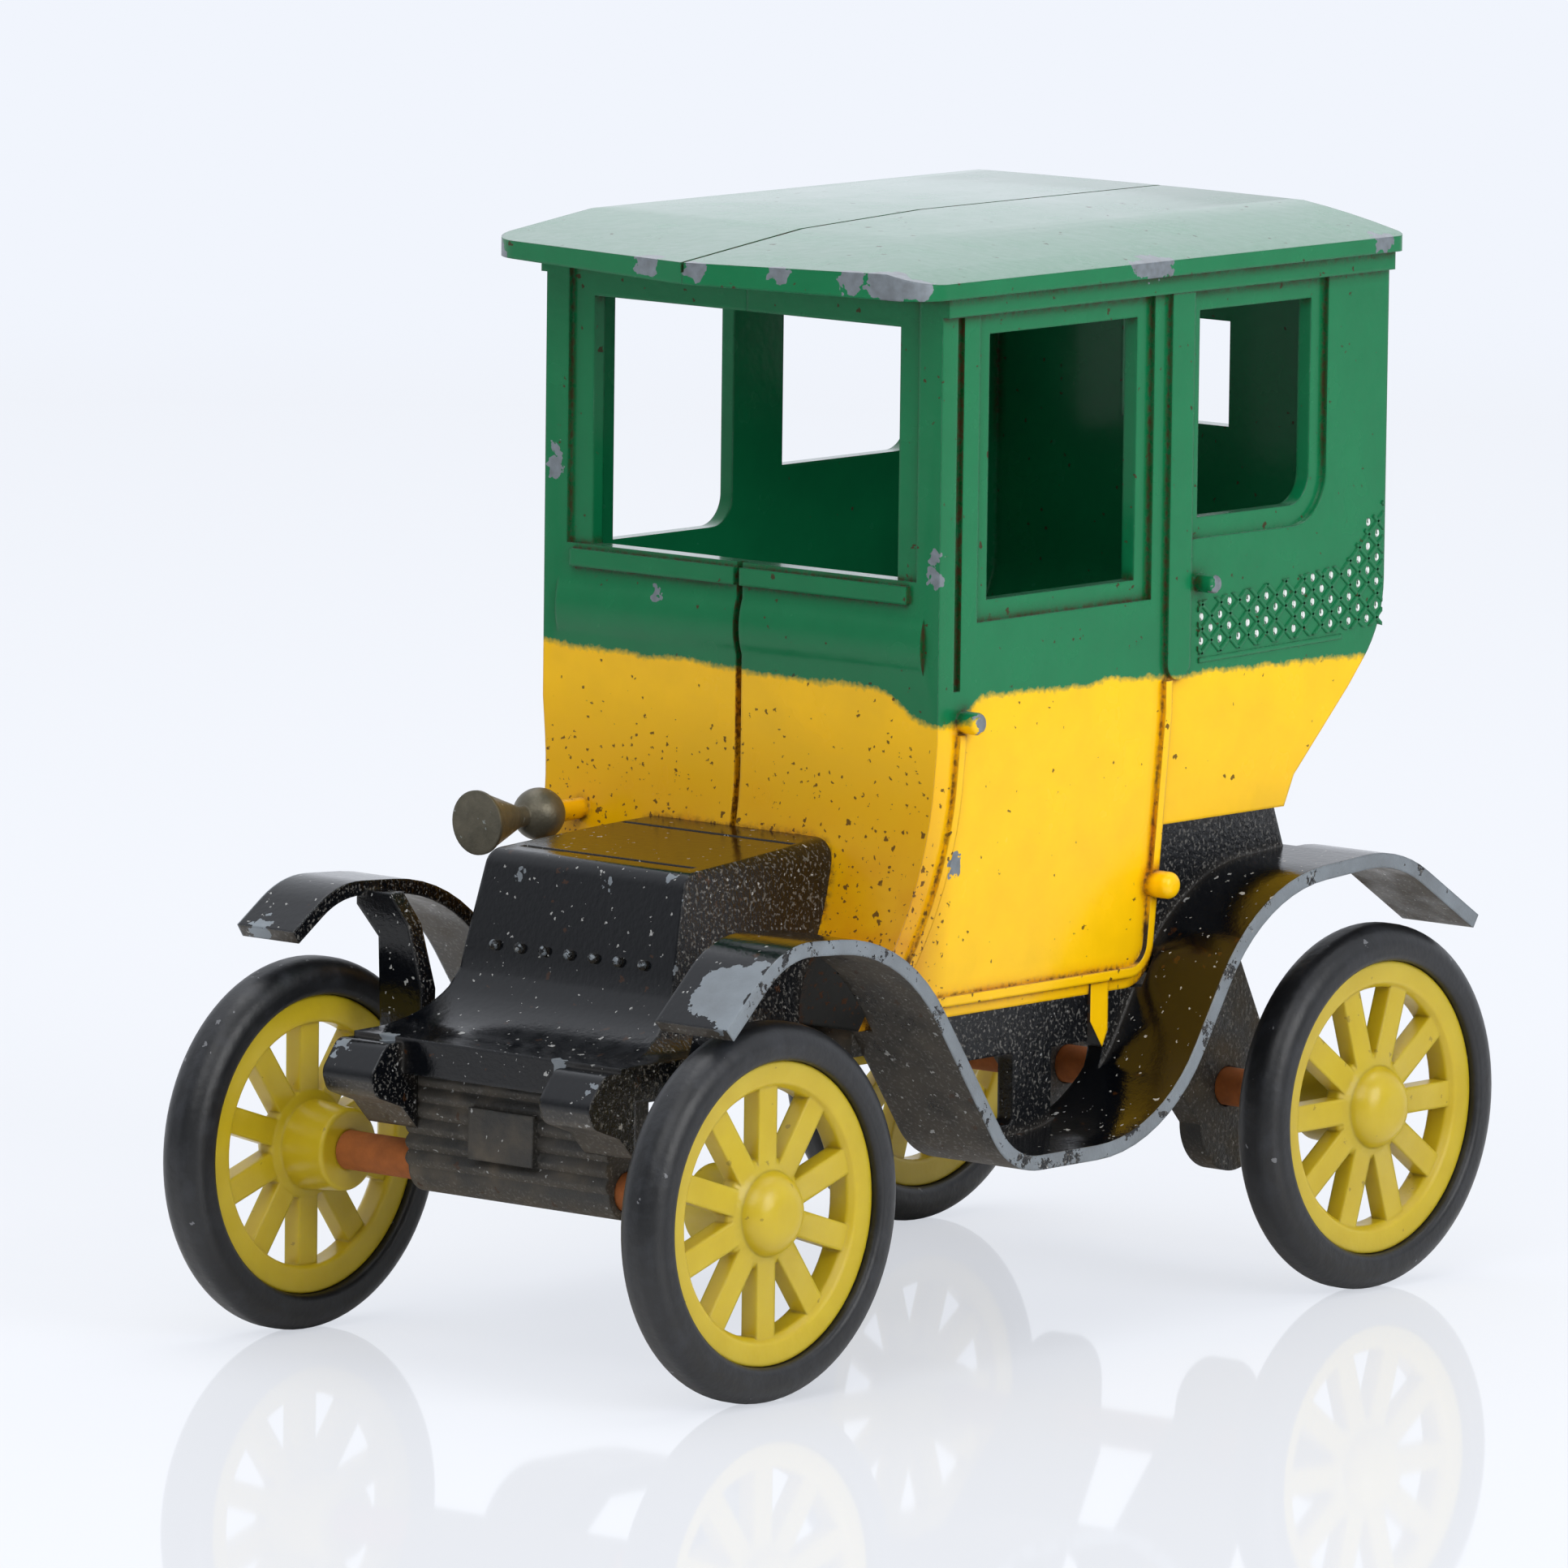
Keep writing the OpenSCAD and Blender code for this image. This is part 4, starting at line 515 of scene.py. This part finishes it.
def tarnished_horn():
    """Turned metal gone dull: grey brown, browner in the hollows, with pale rubbed spots."""
    material, tree, mm = new_material("Tarnished_turned_metal")
    rounded = add(tree, "Bevel", {"Radius": 0.15 * MM}, samples=4)
    hollow = add(tree, "AmbientOcclusion", {"Distance": 0.8 * MM}, samples=6)
    cloud = add(tree, "TexNoise", {"Vector": mm, "Scale": 1.3, "Detail": 6.0, "Roughness": 0.65})
    skin = add(tree, "Mix", {0: cloud, 6: colours().horn, 7: linear("#4a4a41")},
               data_type="RGBA").outputs[2]
    shade = add(tree, "MapRange", {"Value": hollow.outputs["AO"], "From Min": 0.8, "From Max": 0.3,
                                   "To Max": 0.7})
    skin = add(tree, "Mix", {0: shade, 6: skin, 7: linear("#5d4a2c")}, data_type="RGBA").outputs[2]
    spots = add(tree, "Math", {0: specks(tree, mm, 0.4, 0.2), 1: 0.7}, operation="MULTIPLY")
    skin = add(tree, "Mix", {0: spots, 6: skin, 7: linear("#9fa7a4")}, data_type="RGBA").outputs[2]
    rough = add(tree, "MapRange", {"Value": cloud, "To Min": 0.3, "To Max": 0.6})
    bump = add(tree, "Bump", {"Height": cloud, "Distance": 0.1 * MM, "Strength": 0.6, "Normal": rounded})
    close_material(tree, add(tree, "BsdfPrincipled", {
        "Base Color": skin, "Roughness": rough, "Normal": bump, "Metallic": 0.6}))
    return material


def painted_glint_finish():
    """Painted glints: a near-white, slightly cloudy finish that stands in for highlights on the lattice's
    points.
    """
    material, tree, mm = new_material("Painted_glint_white")
    cloud = add(tree, "TexNoise", {"Vector": mm, "Scale": 3.0, "Detail": 4.0})
    skin = add(tree, "Mix", {0: cloud, 6: linear("#f4f6f5"), 7: linear("#d5dfda")},
               data_type="RGBA").outputs[2]
    rough = add(tree, "MapRange", {"Value": cloud, "To Min": 0.2, "To Max": 0.4})
    close_material(tree, add(tree, "BsdfPrincipled", {
        "Base Color": skin, "Roughness": rough, "Metallic": 0.2}))
    return material


def gloss_table():
    """Cast acrylic sheet, white and polished, that fades into a pale wall behind."""
    material, tree, mm = new_material("Polished_white_acrylic")
    ink = colours()
    away = Vector((-math.sin(VIEW_AZIMUTH), math.cos(VIEW_AZIMUTH), 0))
    far = add(tree, "VectorMath", {0: mm, 1: away}, operation="DOT_PRODUCT").outputs["Value"]
    fade = add(tree, "MapRange", {"Value": far, "From Min": TABLE_END - TABLE_FADE,
                                  "From Max": TABLE_END + TABLE_FADE}, interpolation_type="SMOOTHSTEP")
    sheet = add(tree, "BsdfPrincipled", {"Base Color": ink.floor, "Roughness": 0.04, "IOR": 1.45})
    wall = add(tree, "Emission", {"Color": ink.backdrop, "Strength": 1.0})
    # the camera sees part of the wall's white in the sheet, which lights nothing
    lit = add(tree, "Math", {0: add(tree, "LightPath").outputs["Is Camera Ray"], 1: 0.62},
              operation="MULTIPLY")
    share = add(tree, "Math", {0: fade, 1: lit}, operation="MAXIMUM")
    close_material(tree, add(tree, "MixShader", {0: share, 1: sheet, 2: wall}))
    return material


def only(obj):
    """Selects one object and makes it active."""
    bpy.ops.object.select_all(action="DESELECT")
    obj.select_set(True)
    bpy.context.view_layer.objects.active = obj


def edit_all():
    """Starts editing the active object with all of it selected."""
    bpy.ops.object.mode_set(mode="EDIT")
    bpy.ops.mesh.select_all(action="SELECT")


def done():
    """Ends editing."""
    bpy.ops.object.mode_set(mode="OBJECT")


def settle(obj):
    """Puts an object's place, turn and scale into its mesh."""
    only(obj)
    bpy.ops.object.transform_apply(location=True, rotation=True, scale=True)


def smooth(angle):
    """Shades the active object smoothly, apart from edges sharper than an angle in degrees."""
    bpy.ops.object.shade_smooth_by_angle(angle=math.radians(angle))


def finish_piece(piece, body, material):
    """Gives a piece its only material and the body it rides on."""
    piece.data.materials.clear()
    piece.data.materials.append(material)
    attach(piece, body)


def dress(node, name, body, material, angle):
    """A welded, smoothly shaded copy of a CAD node that stands for it."""
    only(frame["nodes"][node])
    bpy.ops.object.duplicate()
    piece = bpy.context.active_object
    piece.name = name
    del piece["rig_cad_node"]
    edit_all()
    bpy.ops.mesh.remove_doubles(threshold=0.002 * MM)
    bpy.ops.mesh.customdata_custom_splitnormals_clear()
    done()
    smooth(angle)
    finish_piece(piece, body, material)
    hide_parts(node)
    return piece


def joined(pieces, name):
    """Joins pieces into one with a name."""
    bpy.ops.object.select_all(action="DESELECT")
    for piece in pieces:
        piece.select_set(True)
    bpy.context.view_layer.objects.active = pieces[0]
    bpy.ops.object.join()
    made = bpy.context.active_object
    made.name = name
    settle(made)
    return made


def trim(obj, point, outward):
    """Cuts away what lies past a plane and closes the cut."""
    only(obj)
    edit_all()
    bpy.ops.mesh.bisect(plane_co=point, plane_no=outward, clear_outer=True, use_fill=True)
    done()


def ball(segments, rings, radius, at, stretch):
    """A stretched ball at a place, still to be cut."""
    bpy.ops.object.select_all(action="DESELECT")
    bpy.ops.mesh.primitive_uv_sphere_add(segments=segments, ring_count=rings, radius=radius, location=at)
    made = bpy.context.active_object
    made.scale = stretch
    settle(made)
    return made


def ridge(high, long, wide, outward, lean, at):
    """A moulded ridge along the side of the cab, narrower at its top."""
    bpy.ops.object.select_all(action="DESELECT")
    bpy.ops.mesh.primitive_cube_add(size=1)
    bar = bpy.context.active_object
    bar.scale = (high, long, wide)
    settle(bar)
    edit_all()
    bpy.ops.mesh.select_all(action="DESELECT")
    done()
    for v in bar.data.vertices:
        v.select = v.co.x * outward > 0
    bpy.ops.object.mode_set(mode="EDIT")
    bpy.ops.transform.resize(value=(1, 1, 0.45), center_override=(0, 0, 0))
    done()
    bar.rotation_euler = (lean, 0, 0)
    bar.location = at
    settle(bar)
    return bar


def lattice_field(name, x_face, outward, lines):
    """Crossed bars on a side panel, trimmed by lines given as ((y, z), (dy, dz) pointing out)."""
    size = sizes()
    slope = math.atan2(size.lattice_high, size.lattice_long)
    y, z = LATTICE_MIDDLE
    middle = Vector((x_face + outward * size.lattice_proud * 0.1, y * MM, z * MM))
    bars = []
    for lean in (-1, 1):
        for step in range(-10, 10):
            at = middle + Vector((0, step * size.lattice_long, 0))
            bars.append(ridge(2 * size.lattice_proud, LATTICE_BAR_LENGTH * MM, size.lattice_bar, outward,
                              lean * slope, at))
    field = joined(bars, name)
    for (y, z), (dy, dz) in lines:
        trim(field, (x_face, y * MM, z * MM), (0, dy, dz))
    return field


def in_lattice(y, z):
    """Whether a place in millimetres lies in the lattice's band or in its rise at the rear."""
    foot = BAND_FOOT + POINT_EDGE + FOOT_SLOPE * (y - BAND_START)
    top = BAND_TOP - POINT_EDGE + TOP_SLOPE * (y - BAND_START)
    if y >= RISE_FRONT:
        top = min(RISE_TOP - POINT_END, RISE_START - POINT_EDGE + RISE_SLOPE * (y - RISE_FRONT))
    return BAND_FRONT + POINT_END < y < RISE_REAR - POINT_END and foot < z < top


def lattice_points(name, x_face, outward):
    """Small bosses in the diamonds of the lattice, apart from one in seven, which carry painted glints."""
    size = sizes()
    bosses = []
    for row in range(-5, 7):
        for column in range(-12, 12):
            y = LATTICE_MIDDLE[0] * MM + (column + 0.5 * (row % 2)) * size.lattice_long
            z = LATTICE_MIDDLE[1] * MM + (row - 1) * size.lattice_high / 2
            if not in_lattice(y / MM, z / MM) or (3 * row + 5 * column) % 7 == 0:
                continue
            boss = ball(10, 6, size.lattice_bar * 0.62, (x_face, y, z), (0.55, 0.75, 1.2))
            trim(boss, (x_face - outward * 0.02 * MM, 0, 0), (-outward, 0, 0))
            bosses.append(boss)
    made = joined(bosses, name)
    smooth(40)
    return made


class TAXI_OT_cab(bpy.types.Operator):
    """Paints the two cab halves in green over yellow enamel"""
    bl_idname = "taxi.cab"
    bl_label = "Cab"

    def execute(self, context):
        enamel = two_tone_enamel()
        for side in SIDES:
            dress(f"cab_{side}_half", f"cab_{side}_painted", "car", enamel, angle=28)
        return {"FINISHED"}


class TAXI_OT_lattice(bpy.types.Operator):
    """Adds the raised cane lattice behind the doors"""
    bl_idname = "taxi.lattice"
    bl_label = "Cane lattice"

    def execute(self, context):
        # the lattice's points get a near-white finish: painted glints
        enamel, zinc = bpy.data.materials["Sprayed_two_tone_enamel"], painted_glint_finish()
        size = sizes()
        foot = ((BAND_START, BAND_FOOT), (FOOT_SLOPE, -1))
        band_lines = (((BAND_FRONT, BAND_FOOT), (-1, 0)), ((RISE_FRONT, BAND_FOOT), (1, 0)), foot,
                      ((BAND_START, BAND_TOP), (-TOP_SLOPE, 1)))
        rise_lines = (((RISE_FRONT, BAND_FOOT), (-1, 0)), ((RISE_REAR, BAND_FOOT), (1, 0)), foot,
                      ((RISE_FRONT, RISE_START), (-RISE_SLOPE, 1)), ((RISE_REAR, RISE_TOP), (0, 1)))
        for side, outward in SIDES.items():
            x_face = (CAB_CENTRE_X + outward * SIDE_PANEL_OUT) * MM
            band = lattice_field(f"{side}_lattice_band", x_face, outward, band_lines)
            rise = lattice_field(f"{side}_lattice_rise", x_face, outward, rise_lines)
            points = lattice_points(f"{side}_lattice_points", x_face, outward)
            # the points' near-white finish is painted glints
            finish_piece(points, "car", zinc)
            y, z = BORDER_MIDDLE
            border = ridge(2 * size.lattice_proud, BORDER_LENGTH * MM, 1.4 * size.lattice_bar, outward,
                           FOOT_SLOPE, Vector((x_face, y * MM, z * MM)))
            field = joined([band, rise, border], f"{side}_cane_lattice")
            smooth(30)
            finish_piece(field, "car", enamel)
        return {"FINISHED"}


class TAXI_OT_bonnet(bpy.types.Operator):
    """Paints the bonnet and sets a row of rivet heads across its front"""
    bl_idname = "taxi.bonnet"
    bl_label = "Bonnet"

    def execute(self, context):
        enamel = black_enamel("Gloss_black_enamel", dusty=False, pale_share=0.13)
        dress("bonnet", "bonnet_painted", "car", enamel, angle=28)
        size = sizes()
        heads = []
        for step in range(-3, 4):
            at = Vector(RIVET_ROW_MIDDLE) * MM + Vector((step * size.rivet_pitch, 0, 0))
            head = ball(16, 10, size.rivet_radius, at, (1, 0.75, 1))
            trim(head, (at.x, at.y + 0.1 * MM, at.z), (0, 1, 0.26))
            heads.append(head)
        row = joined(heads, "bonnet_rivets")
        smooth(40)
        chipped = black_enamel("Chipped_black_enamel", dusty=False, pale_share=0.3, bald=0.5)
        finish_piece(row, "car", chipped)
        return {"FINISHED"}


class TAXI_OT_mudguards(bpy.types.Operator):
    """Paints the mudguards and running boards"""
    bl_idname = "taxi.mudguards"
    bl_label = "Mudguards"

    def execute(self, context):
        enamel = bpy.data.materials["Gloss_black_enamel"]
        for side in SIDES:
            dress(f"{side}_mudguard", f"{side}_mudguard_painted", "car", enamel, angle=24)
        return {"FINISHED"}


class TAXI_OT_frame(bpy.types.Operator):
    """Gives the frame and the gilled radiator their dusty black paint"""
    bl_idname = "taxi.frame"
    bl_label = "Frame and radiator"

    def execute(self, context):
        enamel = black_enamel("Dusty_black_enamel", dusty=True, pale_share=0.06)
        for node in ("chassis_frame", "gilled_radiator"):
            dress(node, f"{node}_painted", "car", enamel, angle=35)
        return {"FINISHED"}


class TAXI_OT_horn(bpy.types.Operator):
    """Gives the bulb horn its tarnish"""
    bl_idname = "taxi.horn"
    bl_label = "Bulb horn"

    def execute(self, context):
        dress("bulb_horn", "bulb_horn_tarnished", "car", tarnished_horn(), angle=35)
        return {"FINISHED"}


class TAXI_OT_axles(bpy.types.Operator):
    """Rusts the two axles"""
    bl_idname = "taxi.axles"
    bl_label = "Axles"

    def execute(self, context):
        rust = rusted_steel()
        for end in AXLE_NAMES:
            dress(f"{end}_axle", f"{end}_axle_rusted", f"{end}_wheelset", rust, angle=35)
        return {"FINISHED"}


class TAXI_OT_wheels(bpy.types.Operator):
    """Gives the wheels their plastic and the tyres their rubber"""
    bl_idname = "taxi.wheels"
    bl_label = "Wheels and tyres"

    def execute(self, context):
        plastic, rubber = wheel_plastic(), tyre_rubber()
        for end in AXLE_NAMES:
            body = f"{end}_wheelset"
            for side in SIDES:
                wheel, tyre = f"{end}_{side}_wheel", f"{end}_{side}_tyre"
                dress(wheel, f"{wheel}_moulded", body, plastic, angle=35)
                dress(tyre, f"{tyre}_moulded", body, rubber, angle=40)
        return {"FINISHED"}


def soft_room(scene):
    """An even dim light all round. The camera and reflections see a pale wall instead, which is
    bright behind the toy and dim behind the camera."""
    world = bpy.data.worlds.new("Soft_white_room")
    scene.world = world
    world.use_nodes = True
    tree = world.node_tree
    tree.nodes.clear()
    path = add(tree, "LightPath")
    seen = path.outputs["Is Camera Ray"]
    for ray in ("Is Glossy Ray", "Is Transmission Ray"):
        seen = add(tree, "Math", {0: seen, 1: path.outputs[ray]}, operation="MAXIMUM")
    away = (-math.sin(VIEW_AZIMUTH), math.cos(VIEW_AZIMUTH), 0.25)
    ray = add(tree, "TexCoord").outputs["Generated"]
    toward = add(tree, "VectorMath", {0: ray, 1: away}, operation="DOT_PRODUCT").outputs["Value"]
    bright = add(tree, "MapRange", {"Value": toward, "From Min": -0.45, "From Max": 0.35,
                                    "To Min": 0.22, "To Max": 1.0}, interpolation_type="SMOOTHSTEP")
    room = add(tree, "Background", {"Color": (1, 1, 1, 1), "Strength": 0.5})
    shown = add(tree, "Background", {"Color": colours().backdrop, "Strength": bright})
    mixed = add(tree, "MixShader", {0: seen, 1: room, 2: shown})
    add(tree, "OutputWorld", {"Surface": mixed})


def softbox(name, place, width, watts):
    """A square lamp that faces the toy."""
    bpy.ops.object.light_add(type="AREA", location=place)
    lamp = bpy.context.active_object
    lamp.name = name
    lamp.data.shape = "SQUARE"
    lamp.data.size = width
    lamp.data.energy = watts
    aim = LAMP_TARGET - Vector(place)
    lamp.rotation_euler = aim.to_track_quat("-Z", "Y").to_euler()


def photo_camera():
    """The camera at the photograph's viewing angle."""
    a, e, r = VIEW_AZIMUTH, VIEW_ELEVATION, VIEW_ROLL
    back = Vector((math.sin(a) * math.cos(e), -math.cos(a) * math.cos(e), math.sin(e)))
    level = Vector((math.cos(a), math.sin(a), 0))
    above = back.cross(level)
    right = math.cos(r) * level + math.sin(r) * above
    up = -math.sin(r) * level + math.cos(r) * above
    bpy.ops.object.camera_add(location=VIEW_TARGET + back * VIEW_DISTANCE)
    camera = bpy.context.active_object
    camera.name = "photo_camera"
    camera.rotation_euler = Matrix((right, up, back)).transposed().to_euler()
    camera.data.sensor_width = VIEW_SENSOR
    camera.data.lens = VIEW_LENS
    camera.data.clip_start = 0.05
    camera.data.clip_end = 50
    return camera


class TAXI_OT_stage(bpy.types.Operator):
    """Builds the white table, the studio light and the camera"""
    bl_idname = "taxi.stage"
    bl_label = "Studio"

    def execute(self, context):
        bpy.ops.object.select_all(action="DESELECT")
        bpy.ops.mesh.primitive_plane_add(size=TABLE_SIZE, location=(0, 0, 0))
        table = bpy.context.active_object
        table.name = "table"
        table.data.materials.append(gloss_table())
        soft_room(context.scene)
        for name, place, width, watts in SOFTBOXES:
            softbox(name, place, width, watts)
        context.scene.camera = photo_camera()
        context.scene.view_settings.view_transform = "Standard"
        return {"FINISHED"}


OPERATORS = (TAXI_OT_cab, TAXI_OT_lattice, TAXI_OT_bonnet, TAXI_OT_mudguards, TAXI_OT_frame, TAXI_OT_horn,
             TAXI_OT_axles, TAXI_OT_wheels, TAXI_OT_stage)


class TAXI_PT_panel(bpy.types.Panel):
    """Lists the taxi's colours, sizes and pieces"""
    bl_idname = "TAXI_PT_panel"
    bl_label = "Toy taxi"
    bl_space_type = "VIEW_3D"
    bl_region_type = "UI"
    bl_category = "Taxi"

    def draw(self, context):
        for group in (context.scene.taxi_colours, context.scene.taxi_sizes):
            for name in group.__annotations__:
                self.layout.prop(group, name)
        for operator in OPERATORS:
            self.layout.operator(operator.bl_idname)


CLASSES = (TaxiColours, TaxiSizes) + OPERATORS + (TAXI_PT_panel,)


def register():
    for kind in CLASSES:
        bpy.utils.register_class(kind)
    bpy.types.Scene.taxi_colours = bpy.props.PointerProperty(type=TaxiColours)
    bpy.types.Scene.taxi_sizes = bpy.props.PointerProperty(type=TaxiSizes)


def unregister():
    del bpy.types.Scene.taxi_colours
    del bpy.types.Scene.taxi_sizes
    for kind in reversed(CLASSES):
        bpy.utils.unregister_class(kind)


def main():
    register()
    bpy.ops.taxi.cab()
    bpy.ops.taxi.lattice()
    bpy.ops.taxi.bonnet()
    bpy.ops.taxi.mudguards()
    bpy.ops.taxi.frame()
    bpy.ops.taxi.horn()
    bpy.ops.taxi.axles()
    bpy.ops.taxi.wheels()
    bpy.ops.taxi.stage()


if __name__ == "__main__":
    main()
